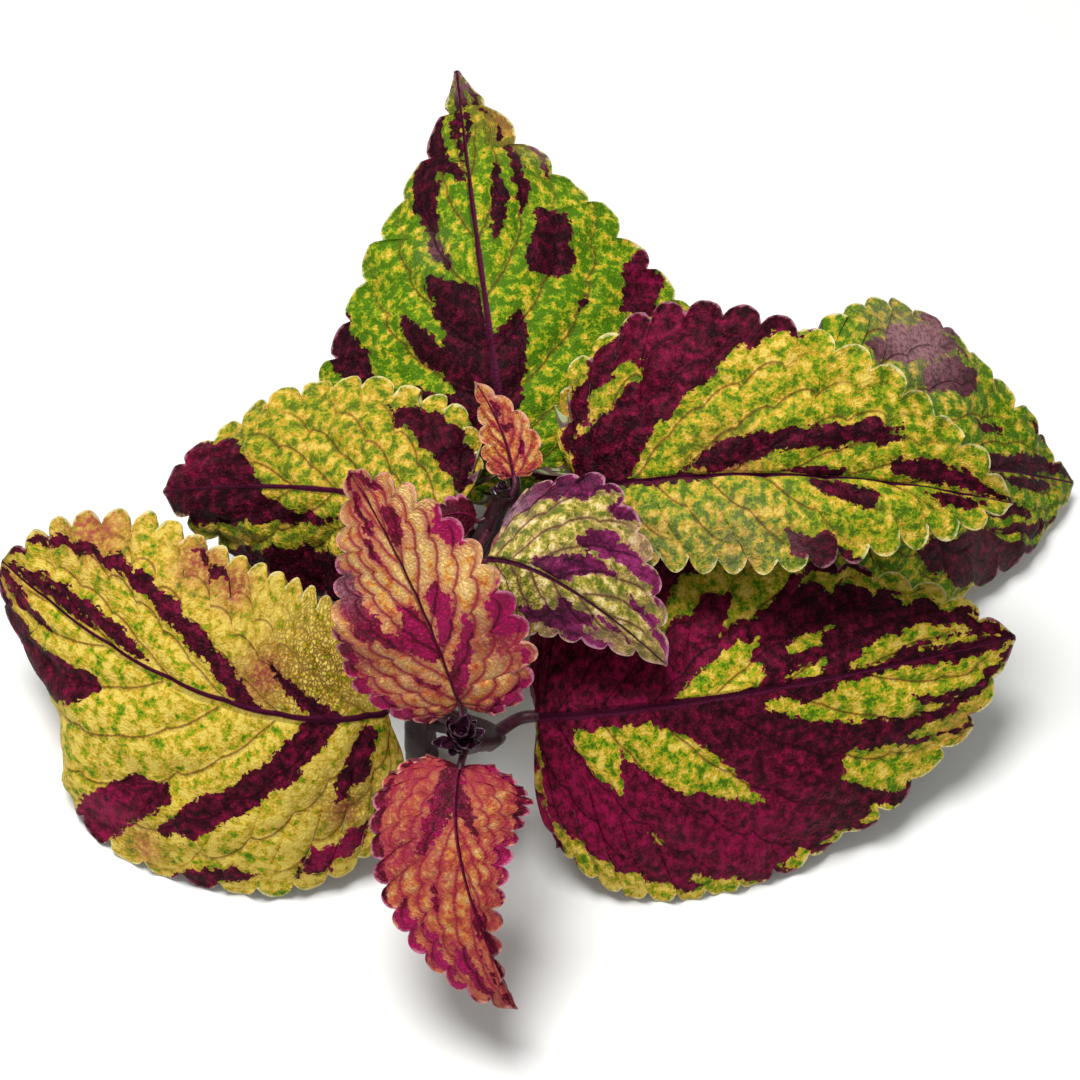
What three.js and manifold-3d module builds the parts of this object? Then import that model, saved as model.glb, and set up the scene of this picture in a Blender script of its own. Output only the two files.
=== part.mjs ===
// A leafy cutting of mosaic-leaved coleus: an upright main shoot and one side shoot that leans
// forward, each with its opposite leaves and a leafy tip. It stands on the cut foot of the main
// stem and on the margins and tips of its lowest leaves.
// Millimetres, +Z up, the plant's front towards -Y, the origin on the ground under its middle.
import * as THREE from "three";
import { mergeVertices } from "three/addons/utils/BufferGeometryUtils.js";
import Module from "manifold-3d";

const wasm = await Module();
wasm.setup();

const WELD = 0.005; // vertices closer than this are one
const TRIM = 0.06; // detail finer than this is drawn together after a cut
const MIDDLE = new THREE.Vector3(7, -12, 0); // ground point under the middle, in the growing frame below
const SEAT_GAP = 0.3; // clearance where a stalk meets its stem

const BLADE_THICKNESS = 0.8;
// rows: steps from the stalk round a basal lobe to the tip. columns: from the midrib to the margin.
const SIZES = {
  large: { rows: 14, columns: 3, stalkRadius: 1.5 },
  small: { rows: 12, columns: 3, stalkRadius: 0.9 },
  tiny: { rows: 8, columns: 2, stalkRadius: 0.7 },
};
const LOBE_SHARE = 0.2; // share of the outline whose veins leave the midrib's foot
const FOOT_SHARE = 0.012; // share of the midrib that counts as its foot
const VEIN_CROWDING = 1.15; // power that sets the other veins closer together near the foot
const VEIN_LEAN = 0.1; // how far a vein's middle hangs back towards the stalk, per unit of reach
const VEIN_LIFT = 0.06; // how far a vein's middle bows out, per unit of its run along the midrib
const ROLL_START = 0.7; // station along the midrib where a margin begins to roll under
const LEAST_BEND = 1e-9; // radians per millimetre, so that a flat half is still an arc

const STALK_SIDES = 6;
const STALK_STEPS = 9;
const STALK_TAPER = [1.15, 0.7]; // radius at the stem and at the rib's end, in stalk radii
const STALK_LEAD = 0.25; // share of the stalk's reach that runs in line with the midrib
const RIB_SHARE = 0.3; // share of the midrib that the stalk thickens under the blade
const RIB_FOOT = 0.03; // station where the stalk passes under the blade
const RIB_SINK = 0.7; // depth of that rib's centre below the blade, in radii

const STEM_SIDES = 16;
const SQUARENESS = 4; // superellipse power of the four-angled stem section

// Stems: the points that the axis passes, and half the width across the flats at foot and tip.
const STEMS = {
  main_stem: {
    axis: [
      [-30, -37, 0],
      [-30, -37, 12],
      [-28, -34, 32],
      [-21, -30, 56],
      [-13, -25, 75],
      [-9, -22.5, 85],
    ],
    halfWidth: [3.6, 2],
    steps: 16,
  },
  front_shoot_stem: {
    axis: [
      [-29, -36, 17],
      [-19, -42, 22],
      [-11, -53, 34],
      [-12.5, -62, 46],
      [-18, -69, 55],
    ],
    halfWidth: [2.8, 1.9],
    steps: 14,
    grownFrom: "main_stem",
  },
};

// Leafy tips: the growing point of each shoot, an egg-shaped cluster of scale leaves.
// TIP_PROFILE goes from foot to point as [share of the radius, share of the length].
const TIP_SIDES = 10;
const TIP_PROFILE = [
  [0, 0],
  [0.5, 0.04],
  [1, 0.4],
  [0.85, 0.65],
  [0.4, 0.92],
  [0, 1],
];
const TIPS = {
  main_shoot_tip: { foot: [-9, -22.5, 85.5], towards: [0.15, 0.1, 1], length: 6, radius: 2.6 },
  front_shoot_tip: { foot: [-18.3, -69.2, 56], towards: [0.1, -0.3, 0.95], length: 12, radius: 3.8 },
};

// Leaves. base, mid and tip are points of the midrib; left and right are the widest points of
// the two margins, seen from the stalk towards the tip with the upper face towards the eye.
// peak: station of each widest point. full: how far each margin stays out towards the tip.
// lobe: how far the basal lobes reach back, below 0 for a wedge-shaped base.
// curl: degrees that each half bends down across its width. roll: degrees more near the tip.
// joint: where the stalk leaves its stem.
const LEAVES = {
  front_left_leaf: {
    base: [-36, -51, 42],
    mid: [-80, -47, 44],
    tip: [-134, -5, 40],
    left: [-95, -70, 1],
    right: [-107, 2, 62],
    peak: [0.56, 0.68],
    full: [1.1, 1],
    lobe: 0,
    curl: [30, 25],
    roll: [130, 0],
    stem: "front_shoot_stem",
    joint: [-12.5, -61, 44.5],
    size: "large",
  },
  front_right_leaf: {
    base: [-1, -53, 42],
    mid: [48, -49, 46],
    tip: [117, -24, 34],
    left: [49, -14, 58],
    right: [46, -76, 0.4],
    peak: [0.45, 0.42],
    full: [0.8, 0.8],
    lobe: 0,
    curl: [15, 30],
    roll: [0, 0],
    stem: "front_shoot_stem",
    joint: [-12.5, -61, 44.5],
    size: "large",
  },
  rising_young_leaf: {
    base: [-18, -63, 63],
    mid: [-28, -49, 88],
    tip: [-42, -29, 104],
    left: [-47, -53, 74],
    right: [-1, -60, 80],
    peak: [0.3, 0.25],
    full: [0.3, 0.3],
    lobe: 0.05,
    curl: [25, 25],
    roll: [0, 0],
    stem: "front_shoot_stem",
    joint: [-17, -67.5, 53.5],
    size: "small",
  },
  drooping_young_leaf: {
    base: [-18, -75, 55],
    mid: [-17, -97, 46],
    tip: [-5, -118, 22],
    left: [-2, -83, 52],
    right: [-38, -87, 48],
    peak: [0.2, 0.3],
    full: [-0.4, 0.7],
    lobe: 0.02,
    curl: [20, 20],
    roll: [0, 0],
    stem: "front_shoot_stem",
    joint: [-16.5, -66.5, 51.5],
    size: "small",
  },
  upper_left_leaf: {
    base: [-20, -21, 77],
    mid: [-53, -8, 72],
    tip: [-94, 9, 50],
    left: [-51, -20, 44],
    right: [-51, 21, 80],
    peak: [0.4, 0.4],
    full: [0.6, 0.6],
    lobe: 0,
    curl: [30, 30],
    roll: [0, 0],
    stem: "main_stem",
    joint: [-15, -26, 71.5],
    size: "large",
  },
  upper_right_leaf: {
    base: [11, -11, 75],
    mid: [58, -14, 84],
    tip: [112, -11, 70],
    left: [37, 22, 104],
    right: [57, -34, 74],
    peak: [0.3, 0.45],
    full: [0.5, 0.6],
    lobe: 0.04,
    curl: [30, 40],
    roll: [60, 60],
    stem: "main_stem",
    joint: [-13, -25, 74],
    size: "large",
  },
  tall_back_leaf: {
    base: [-7, -7, 78],
    mid: [-14, 35, 102],
    tip: [-21, 95, 112],
    left: [-58, 37, 74],
    right: [37, 42, 84],
    peak: [0.3, 0.38],
    full: [-0.1, 0],
    lobe: 0.03,
    curl: [15, 15],
    roll: [0, 0],
    stem: "main_stem",
    joint: [-18, -28, 64],
    size: "large",
  },
  crown_right_leaf: {
    base: [-12, -37, 82],
    mid: [5, -44, 82],
    tip: [29, -52, 62],
    left: [13, -18, 90],
    right: [0, -49, 66],
    peak: [0.45, 0.4],
    full: [0.5, 0.2],
    lobe: -0.1,
    curl: [15, 25],
    roll: [0, 0],
    stem: "main_stem",
    joint: [-11.5, -24, 78],
    size: "small",
  },
  crown_left_leaf: {
    base: [-15, -25, 82],
    mid: [-20, -26, 85],
    tip: [-27, -28, 83],
    left: [-20, -30, 80],
    right: [-20, -21, 86],
    peak: [0.34, 0.34],
    full: [0.3, 0.3],
    lobe: 0.04,
    curl: [10, 10],
    roll: [0, 0],
    stem: "main_stem",
    joint: [-10, -23, 81.5],
    size: "tiny",
  },
  crown_back_leaf: {
    base: [-6, -17.5, 88],
    mid: [-9, -9, 95],
    tip: [-15, 0, 101],
    left: [-14, -10, 90],
    right: [0, -10, 92],
    peak: [0.3, 0.3],
    full: [0.2, 0.3],
    lobe: 0,
    curl: [0, 0],
    roll: [0, 0],
    stem: "main_stem",
    joint: [-10, -23.2, 82],
    size: "tiny",
  },
  far_right_leaf: {
    base: [41, 9, 58],
    mid: [94, 20, 48],
    tip: [147, 48, 6],
    left: [98, 67, 58],
    right: [119, 10, 0],
    peak: [0.55, 0.62],
    full: [0, 0.9],
    lobe: -0.15,
    curl: [30, 30],
    roll: [0, 0],
    stem: "main_stem",
    joint: [-24, -32, 46],
    size: "large",
  },
  far_left_leaf: {
    base: [-46, 14, 42],
    mid: [-66, 38, 38],
    tip: [-82, 66, 1],
    left: [-92, 24, 24],
    right: [-36, 52, 24],
    peak: [0.34, 0.34],
    full: [0.3, 0.3],
    lobe: 0.03,
    curl: [25, 25],
    roll: [0, 0],
    stem: "main_stem",
    joint: [-24, -32, 46],
    size: "large",
  },
  low_back_leaf: {
    base: [0, 14, 40],
    mid: [12, 48, 36],
    tip: [24, 88, 1],
    left: [-24, 54, 16],
    right: [48, 38, 20],
    peak: [0.34, 0.34],
    full: [0.3, 0.3],
    lobe: 0.03,
    curl: [25, 25],
    roll: [0, 0],
    stem: "main_stem",
    joint: [-29.5, -36, 20],
    size: "large",
  },
};

const FINISHES = {
  leaf: { color: 0x8fae35, roughness: 0.55, metalness: 0 },
  youngLeaf: { color: 0xcf6a5a, roughness: 0.5, metalness: 0 },
  stem: { color: 0x3a0d1e, roughness: 0.45, metalness: 0 },
};

const vector = ([x, y, z]) => new THREE.Vector3(x, y, z);
const radians = THREE.MathUtils.degToRad;

// --- closed meshes and solids -------------------------------------------------------------

function solidOf(positions, triangles) {
  const geometry = new THREE.BufferGeometry();
  geometry.setAttribute("position", new THREE.Float32BufferAttribute(positions, 3));
  geometry.setIndex(triangles);
  return solidOfGeometry(geometry);
}

function solidOfGeometry(geometry) {
  const bare = geometry.clone();
  bare.deleteAttribute("normal");
  bare.deleteAttribute("uv");
  const merged = mergeVertices(bare, WELD);
  return new wasm.Manifold(
    new wasm.Mesh({
      numProp: 3,
      vertProperties: merged.attributes.position.array,
      triVerts: new Uint32Array(merged.index.array),
    }),
  );
}

function geometryOf(solid) {
  const mesh = solid.getMesh();
  const geometry = new THREE.BufferGeometry();
  geometry.setAttribute("position", new THREE.BufferAttribute(mesh.vertProperties, 3));
  geometry.setIndex(new THREE.BufferAttribute(mesh.triVerts, 1));
  geometry.computeVertexNormals();
  return geometry;
}

// The solid without the slivers and specks that a cut leaves.
function cleaned(solid) {
  const bodies = solidOfGeometry(geometryOf(solid.simplify(TRIM))).decompose();
  return bodies.reduce((a, b) => (b.volume() > a.volume() ? b : a));
}

// --- stems and stalks ---------------------------------------------------------------------

// A closed tube along a curve. radiusAt(u, angle) gives its radius at share u of the curve.
function tube(curve, steps, sides, radiusAt) {
  const frames = curve.computeFrenetFrames(steps, false);
  const positions = [];
  const triangles = [];
  for (let i = 0; i <= steps; i++) {
    const centre = curve.getPointAt(i / steps);
    for (let k = 0; k < sides; k++) {
      const angle = (2 * Math.PI * k) / sides;
      const point = centre
        .clone()
        .addScaledVector(frames.normals[i], Math.cos(angle) * radiusAt(i / steps, angle))
        .addScaledVector(frames.binormals[i], Math.sin(angle) * radiusAt(i / steps, angle));
      positions.push(...point.toArray());
    }
  }
  const at = (i, k) => i * sides + (k % sides);
  for (let i = 0; i < steps; i++) {
    for (let k = 0; k < sides; k++) {
      triangles.push(at(i, k), at(i, k + 1), at(i + 1, k));
      triangles.push(at(i, k + 1), at(i + 1, k + 1), at(i + 1, k));
    }
  }
  const footCentre = positions.length / 3;
  positions.push(...curve.getPointAt(0).toArray(), ...curve.getPointAt(1).toArray());
  for (let k = 0; k < sides; k++) {
    triangles.push(footCentre, at(0, k + 1), at(0, k));
    triangles.push(footCentre + 1, at(steps, k), at(steps, k + 1));
  }
  return solidOf(positions, triangles);
}

// A four-angled stem with rounded edges; allowance is added all round it and beyond its tip.
function stemSolid({ axis, halfWidth, steps }, allowance) {
  const points = axis.map(vector);
  const [before, end] = points.slice(-2);
  end.addScaledVector(end.clone().sub(before).normalize(), allowance);
  const curve = new THREE.CatmullRomCurve3(points, false, "centripetal");
  const power = (value) => Math.abs(value) ** SQUARENESS;
  const section = (angle) => (power(Math.cos(angle)) + power(Math.sin(angle))) ** (-1 / SQUARENESS);
  const radiusAt = (u, angle) => THREE.MathUtils.lerp(...halfWidth, u) * section(angle) + allowance;
  return tube(curve, steps, STEM_SIDES, radiusAt);
}

// --- leaves -------------------------------------------------------------------------------

// The midrib's point and the blade's axes at a station: t along it, s to the right, n up.
function frameAt(leaf, station) {
  const t = Math.max(station, 0);
  const control = vector(leaf.mid).multiplyScalar(2).sub(
    vector(leaf.base).add(vector(leaf.tip)).multiplyScalar(0.5),
  );
  const curve = new THREE.QuadraticBezierCurve3(vector(leaf.base), control, vector(leaf.tip));
  const along = curve.getPoint(t);
  const forward = curve.getTangent(t);
  along.addScaledVector(forward, Math.min(station, 0) * lengthOf(leaf));
  const across = vector(leaf.right).sub(vector(leaf.left));
  const middle = curve.getTangent((leaf.peak[0] + leaf.peak[1]) / 2);
  across.addScaledVector(middle, -across.dot(middle)).normalize();
  across.addScaledVector(forward, -across.dot(forward)).normalize();
  return { point: along, t: forward, s: across, n: across.clone().cross(forward) };
}

function lengthOf(leaf) {
  const mid = vector(leaf.mid);
  return mid.distanceTo(vector(leaf.base)) + mid.distanceTo(vector(leaf.tip));
}

// One half of the blade: side is -1 on the left and 1 on the right. Its width and fold angle
// carry the margin's widest point to where it is wanted.
function halfOf(leaf, side) {
  const k = side < 0 ? 0 : 1;
  const frame = frameAt(leaf, leaf.peak[k]);
  const reach = vector(side < 0 ? leaf.left : leaf.right).sub(frame.point);
  reach.addScaledVector(frame.t, -reach.dot(frame.t));
  const curl = radians(leaf.curl[k]);
  const chord = reach.length();
  const width = curl > 0 ? (chord * curl) / 2 / Math.sin(curl / 2) : chord;
  return {
    side,
    width,
    fold: Math.atan2(reach.dot(frame.n), side * reach.dot(frame.s)) + curl / 2,
    curl,
    roll: radians(leaf.roll[k]),
    outline: outlineOf(leaf, k, width),
  };
}

// Half of the leaf's outline laid flat, 0 for the left and 1 for the right: x along the
// midrib, y out from it.
function outlineOf(leaf, k, width) {
  const peak = leaf.peak[k];
  const full = leaf.full[k];
  const rest = 1 - peak;
  const points = [
    [0, 0.03],
    [leaf.lobe > 0 ? -leaf.lobe : -0.35 * leaf.lobe, 0.27],
    [leaf.lobe > 0 ? -0.45 * leaf.lobe : -0.8 * leaf.lobe, 0.62],
    [0.42 * peak, 0.93 + 1.5 * Math.min(leaf.lobe, 0)],
    [peak, 1],
    [peak + 0.394 * rest, 0.7 + 0.22 * full],
    [peak + 0.742 * rest, 0.28 + 0.34 * full],
    [peak + 0.91 * rest, 0.09 + 0.22 * full],
    [1, 0.012],
  ];
  const length = lengthOf(leaf);
  return new THREE.SplineCurve(points.map(([x, y]) => new THREE.Vector2(x * length, y * width)));
}

// One point of the blade's middle surface. u runs along the outline from stalk to tip and
// w from the midrib to the margin, along a path that bends forward as the side veins do.
function bladePoint(leaf, half, u, w) {
  const length = lengthOf(leaf);
  const edge = half.outline.getPointAt(u);
  const beyond = Math.max(u - LOBE_SHARE, 0) / (1 - LOBE_SHARE);
  const foot = FOOT_SHARE * Math.min(u / LOBE_SHARE, 1);
  const start = length * (foot + (1 - FOOT_SHARE) * beyond ** VEIN_CROWDING);
  const control = new THREE.Vector2(
    (start + edge.x) / 2 - VEIN_LEAN * edge.y,
    edge.y / 2 + VEIN_LIFT * (edge.x - start),
  );
  const vein = new THREE.QuadraticBezierCurve(new THREE.Vector2(start, 0), control, edge);
  const flat = vein.getPoint(w);
  const station = flat.x / length;
  const rolled = THREE.MathUtils.smoothstep(station, ROLL_START, 1);
  const bend = (half.curl + half.roll * rolled) / half.width + LEAST_BEND;
  const frame = frameAt(leaf, station);
  const out = (Math.sin(half.fold) - Math.sin(half.fold - bend * flat.y)) / bend;
  const up = (Math.cos(half.fold - bend * flat.y) - Math.cos(half.fold)) / bend;
  return frame.point.addScaledVector(frame.s, half.side * out).addScaledVector(frame.n, up);
}

// The blade as a closed sheet of even thickness.
function bladeSolid(leaf) {
  const { rows, columns: halfColumns } = SIZES[leaf.size];
  const columns = 2 * halfColumns + 1;
  const left = halfOf(leaf, -1);
  const right = halfOf(leaf, 1);
  const grid = [];
  for (let i = 0; i <= rows; i++) {
    const row = [];
    for (let j = -halfColumns; j <= halfColumns; j++) {
      row.push(bladePoint(leaf, j < 0 ? left : right, i / rows, Math.abs(j) / halfColumns));
    }
    grid.push(row);
  }
  const positions = { top: [], bottom: [] };
  for (let i = 0; i <= rows; i++) {
    for (let j = 0; j < columns; j++) {
      const down = grid[Math.min(i + 1, rows)][j].clone().sub(grid[Math.max(i - 1, 0)][j]);
      const across = grid[i][Math.min(j + 1, columns - 1)].clone().sub(grid[i][Math.max(j - 1, 0)]);
      const normal = across.cross(down).normalize();
      const shift = BLADE_THICKNESS / 2;
      positions.top.push(...grid[i][j].clone().addScaledVector(normal, shift).toArray());
      positions.bottom.push(...grid[i][j].clone().addScaledVector(normal, -shift).toArray());
    }
  }
  const under = positions.top.length / 3;
  const at = (i, j) => i * columns + j;
  const triangles = [];
  for (let i = 0; i < rows; i++) {
    for (let j = 0; j < columns - 1; j++) {
      const [a, b, c, d] = [at(i, j), at(i, j + 1), at(i + 1, j), at(i + 1, j + 1)];
      triangles.push(a, b, c, b, d, c);
      triangles.push(under + a, under + c, under + b, under + b, under + c, under + d);
    }
  }
  const rim = [];
  for (let j = 0; j < columns - 1; j++) rim.push(at(0, j));
  for (let i = 0; i < rows; i++) rim.push(at(i, columns - 1));
  for (let j = columns - 1; j > 0; j--) rim.push(at(rows, j));
  for (let i = rows; i > 0; i--) rim.push(at(i, 0));
  rim.forEach((a, index) => {
    const b = rim[(index + 1) % rim.length];
    triangles.push(a, under + a, b, b, under + a, under + b);
  });
  return solidOf([...positions.top, ...positions.bottom], triangles);
}

// The stalk, from inside its stem to the blade and on under the midrib as a rib.
function stalkSolid(leaf) {
  const radius = SIZES[leaf.size].stalkRadius;
  const base = frameAt(leaf, 0);
  const rib = [RIB_FOOT, RIB_SHARE / 2, RIB_SHARE].map((station) => {
    const frame = frameAt(leaf, station);
    return frame.point.addScaledVector(frame.n, -RIB_SINK * radius);
  });
  const joint = vector(leaf.joint);
  const lead = STALK_LEAD * joint.distanceTo(base.point);
  const before = base.point.clone().addScaledVector(base.t, -lead);
  const curve = new THREE.CatmullRomCurve3([joint, before, ...rib], false, "centripetal");
  const radiusAt = (u) => radius * THREE.MathUtils.lerp(...STALK_TAPER, u);
  return tube(curve, STALK_STEPS, STALK_SIDES, radiusAt);
}

// --- the plant ----------------------------------------------------------------------------

function mesh(name, solid, finish) {
  const made = new THREE.Mesh(geometryOf(solid), new THREE.MeshStandardMaterial(finish));
  made.name = name;
  return made;
}

function tipMesh(name, { foot, towards, length, radius }) {
  const profile = TIP_PROFILE.map(([x, y]) => new THREE.Vector2(x * radius, y * length));
  const solid = solidOfGeometry(new THREE.LatheGeometry(profile, TIP_SIDES));
  const made = mesh(name, solid, FINISHES.stem);
  made.quaternion.setFromUnitVectors(new THREE.Vector3(0, 1, 0), vector(towards).normalize());
  made.position.copy(vector(foot));
  return made;
}

function coleus() {
  const plant = new THREE.Group();
  for (const [name, stem] of Object.entries(STEMS)) {
    const parent = STEMS[stem.grownFrom];
    const whole = stemSolid(stem, 0);
    const solid = parent ? cleaned(whole.subtract(stemSolid(parent, SEAT_GAP))) : whole;
    plant.add(mesh(name, solid, FINISHES.stem));
  }
  for (const [name, leaf] of Object.entries(LEAVES)) {
    const grown = bladeSolid(leaf).add(stalkSolid(leaf));
    const solid = cleaned(grown.subtract(stemSolid(STEMS[leaf.stem], SEAT_GAP)));
    plant.add(mesh(name, solid, leaf.size === "large" ? FINISHES.leaf : FINISHES.youngLeaf));
  }
  for (const [name, tip] of Object.entries(TIPS)) plant.add(tipMesh(name, tip));
  plant.position.copy(MIDDLE).negate();
  const root = new THREE.Group();
  root.name = "coleus";
  root.add(plant);
  return root;
}

export default coleus();
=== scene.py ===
"""Looks of a coleus cutting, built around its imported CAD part.

Every blade, stalk, stem and growing tip of the part is replaced by a detailed piece in the same
place. Lengths are millimetres in the plant's growing frame until `metres` carries them to the
scene: +X right, +Y back, +Z up.
"""

from __future__ import annotations

import logging
import math
from dataclasses import dataclass, field
from enum import Enum

import bpy
import numpy as np
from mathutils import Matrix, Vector


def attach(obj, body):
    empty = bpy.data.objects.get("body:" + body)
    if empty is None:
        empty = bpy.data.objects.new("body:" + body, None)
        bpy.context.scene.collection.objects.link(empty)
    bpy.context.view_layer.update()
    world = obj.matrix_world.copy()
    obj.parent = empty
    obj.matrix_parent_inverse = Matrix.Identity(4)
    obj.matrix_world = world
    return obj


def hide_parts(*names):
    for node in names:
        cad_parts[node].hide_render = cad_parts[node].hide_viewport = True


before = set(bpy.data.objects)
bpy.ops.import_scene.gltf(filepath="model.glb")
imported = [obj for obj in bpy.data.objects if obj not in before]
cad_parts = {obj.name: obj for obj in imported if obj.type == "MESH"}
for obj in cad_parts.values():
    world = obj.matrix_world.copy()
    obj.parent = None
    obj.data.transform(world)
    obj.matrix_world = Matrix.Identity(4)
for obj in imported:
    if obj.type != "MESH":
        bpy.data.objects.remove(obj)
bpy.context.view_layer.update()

LOG = logging.getLogger("coleus")

Point = tuple[float, float, float]
Polygon = tuple[tuple[float, float], ...]
Socket = bpy.types.NodeSocket
Tree = bpy.types.NodeTree
Material = bpy.types.Material
Object = bpy.types.Object

MM = 0.001
MIDDLE = np.array([7.0, -12.0, 0.0])  # ground point under the plant's middle


# --- named choices ------------------------------------------------------------------------------


class Side(Enum):
    """A half of a blade, seen from the stalk towards the tip with the upper face up."""

    LEFT = -1
    RIGHT = 1


class Ground(Enum):
    """What a half of a blade is outside its patches."""

    LIGHT = 1
    DARK = -1


class Age(Enum):
    """How far a leaf has grown on from the bud; it decides the leaf's colours."""

    MATURE = "mature"
    TURNING = "turning"
    YOUNG = "young"


class Tint(Enum):
    """What a soft wash changes; the value is the attribute that carries it."""

    GOLD = "gold"
    GLOW = "glow"
    BLUSH = "blush"
    GREY = "grey"
    RUST = "rust"


# --- small helpers ------------------------------------------------------------------------------


def metres(points: np.ndarray) -> np.ndarray:
    """Growing-frame millimetres as scene metres."""
    return (points - MIDDLE) * MM


def linear(hex_colour: str) -> tuple[float, float, float, float]:
    """Turns an sRGB hex colour, written #rrggbb, to linear red, green, blue and an alpha of 1."""
    channels = [int(hex_colour[i : i + 2], 16) / 255 for i in (1, 3, 5)]
    red, green, blue = (c / 12.92 if c <= 0.04045 else ((c + 0.055) / 1.055) ** 2.4 for c in channels)
    return red, green, blue, 1.0


def smoothstep(values: np.ndarray, start: float, end: float) -> np.ndarray:
    """0 before start, 1 after end, and a smooth rise between."""
    share = np.clip((values - start) / (end - start), 0, 1)
    return share * share * (3 - 2 * share)


def unit(vectors: np.ndarray) -> np.ndarray:
    """The vectors at length 1."""
    return vectors / np.maximum(np.linalg.norm(vectors, axis=-1, keepdims=True), 1e-9)


def wobble(x: np.ndarray, y: np.ndarray, wavelength: float, seed: int) -> np.ndarray:
    """Smooth seeded unevenness over a plane.

    Args:
        x: First coordinates.
        y: Second coordinates.
        wavelength: Typical distance between swells, in the coordinates' unit.
        seed: Picks the pattern.

    Returns:
        Heights between about -1 and 1.
    """
    random = np.random.default_rng(seed)
    total = np.zeros(np.broadcast(x, y).shape)
    waves = 7
    for _ in range(waves):
        angle, phase, stretch = random.uniform(0, 2 * math.pi, 2).tolist() + [random.uniform(0.7, 1.4)]
        rate = 2 * math.pi * stretch / wavelength
        total += np.sin(rate * (x * math.cos(angle) + y * math.sin(angle)) + phase)
    return total / math.sqrt(waves) / 1.4


def spline(points: np.ndarray, shares: np.ndarray, centripetal: bool) -> np.ndarray:
    """Points of a Catmull-Rom curve at equal shares of its length.

    Args:
        points: The points that it passes, one a row.
        shares: Shares of the curve's length, 0 to 1.
        centripetal: Whether it is centripetal, with its ends run on straight, or uniform.

    Returns:
        One point for each share.
    """
    spans = len(points) - 1
    dense = np.linspace(0, spans, spans * 60 + 1)
    index = np.minimum(dense.astype(int), spans - 1)
    w = (dense - index)[:, None]
    before = 2 * points[0] - points[1] if centripetal else points[0]
    after = 2 * points[-1] - points[-2] if centripetal else points[-1]
    padded = np.vstack([before, points, after])
    p0, p1, p2, p3 = (padded[index + k] for k in range(4))
    if centripetal:
        d0, d1, d2 = (np.sqrt(np.linalg.norm(b - a, axis=1, keepdims=True))
                      for a, b in ((p0, p1), (p1, p2), (p2, p3)))
        v1 = ((p1 - p0) / d0 - (p2 - p0) / (d0 + d1) + (p2 - p1) / d1) * d1
        v2 = ((p2 - p1) / d1 - (p3 - p1) / (d1 + d2) + (p3 - p2) / d2) * d1
    else:
        v1, v2 = (p2 - p0) / 2, (p3 - p1) / 2
    curve = (2 * p1 - 2 * p2 + v1 + v2) * w**3 + (-3 * p1 + 3 * p2 - 2 * v1 - v2) * w**2 + v1 * w + p1
    run = np.concatenate([[0], np.cumsum(np.linalg.norm(np.diff(curve, axis=0), axis=1))])
    return np.stack([np.interp(shares * run[-1], run, axis) for axis in curve.T], axis=-1)


def along_rows(x: np.ndarray, y: np.ndarray) -> np.ndarray:
    """The length run along each row of points so far."""
    steps = [np.diff(values, axis=1, prepend=values[:, :1]) for values in (x, y)]
    return np.cumsum(np.hypot(*steps), axis=1)


def polygon_distance(x: np.ndarray, y: np.ndarray, px: np.ndarray, py: np.ndarray) -> np.ndarray:
    """Signed distance from points to a closed polygon.

    Args:
        x: The points' first coordinates.
        y: Their second coordinates.
        px: The corners' first coordinates.
        py: Their second coordinates.

    Returns:
        Distances, above 0 inside.
    """
    shape, x, y = x.shape, x.ravel(), y.ravel()
    nearest = np.full(x.shape, np.inf)
    inside = np.zeros(x.shape, dtype=bool)
    for ax, ay, bx, by in zip(px, py, np.roll(px, -1), np.roll(py, -1)):
        ex, ey = bx - ax, by - ay
        share = np.clip(((x - ax) * ex + (y - ay) * ey) / max(ex * ex + ey * ey, 1e-12), 0, 1)
        nearest = np.minimum(nearest, (x - ax - share * ex) ** 2 + (y - ay - share * ey) ** 2)
        if ay != by:
            inside ^= ((ay > y) != (by > y)) & (x < ax + (y - ay) / (by - ay) * ex)
    return (np.sqrt(nearest) * np.where(inside, 1, -1)).reshape(shape)


def linked(name: str, data: bpy.types.ID) -> Object:
    """Puts a new object in the scene.

    Args:
        name: The object's name.
        data: Its mesh, light or camera.

    Returns:
        The object, at the origin.
    """
    made = bpy.data.objects.new(name, data)
    bpy.context.scene.collection.objects.link(made)
    return made


def stand_in(made: Object, node: str) -> None:
    """Lets a finished piece stand for its CAD node, and reports it.

    Args:
        made: The piece.
        node: The CAD node that it replaces.
    """
    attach(made, "root")
    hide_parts(node)
    LOG.info("%s: %d faces", made.name, len(made.data.polygons))


# --- leaf plans ---------------------------------------------------------------------------------


@dataclass(frozen=True)
class Wash:
    """A soft-edged spot of a tint on a half: its place as (vein value, share of the way out)."""

    tint: Tint
    at: tuple[float, float]
    radius: float  # in millimetres
    amount: float = 1.0


@dataclass(frozen=True)
class Half:
    """One half of a blade.

    Side veins are lines of one vein value: their share of the outline less lag times the share
    of the way from the midrib to the margin. Values below about 0.2 leave the midrib's foot.
    """

    widest: Point
    peak: float
    full: float
    curl: float
    lag: float
    patches: tuple[Polygon, ...] = ()
    holes: tuple[Polygon, ...] = ()  # gaps in the patches
    ground: Ground = Ground.LIGHT
    roll: float = 0.0
    first_vein: float = 0.03
    vein_pitch: float = 0.11
    washes: tuple[Wash, ...] = ()


@dataclass(frozen=True)
class Size:
    """How finely a blade is made and how strongly it swells between its veins, in millimetres."""

    steps_per_scallop: int
    columns: int
    stalk_radius: float
    scallop_depth: float
    swell: float
    thickness: float
    ruffle: float


LARGE = Size(9, 40, 1.5, 4.1, 1.2, 0.5, 0.6)
SMALL = Size(9, 36, 0.9, 2.5, 0.95, 0.45, 0.35)
TINY = Size(8, 16, 0.7, 1.5, 0.35, 0.35, 0.2)


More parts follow.
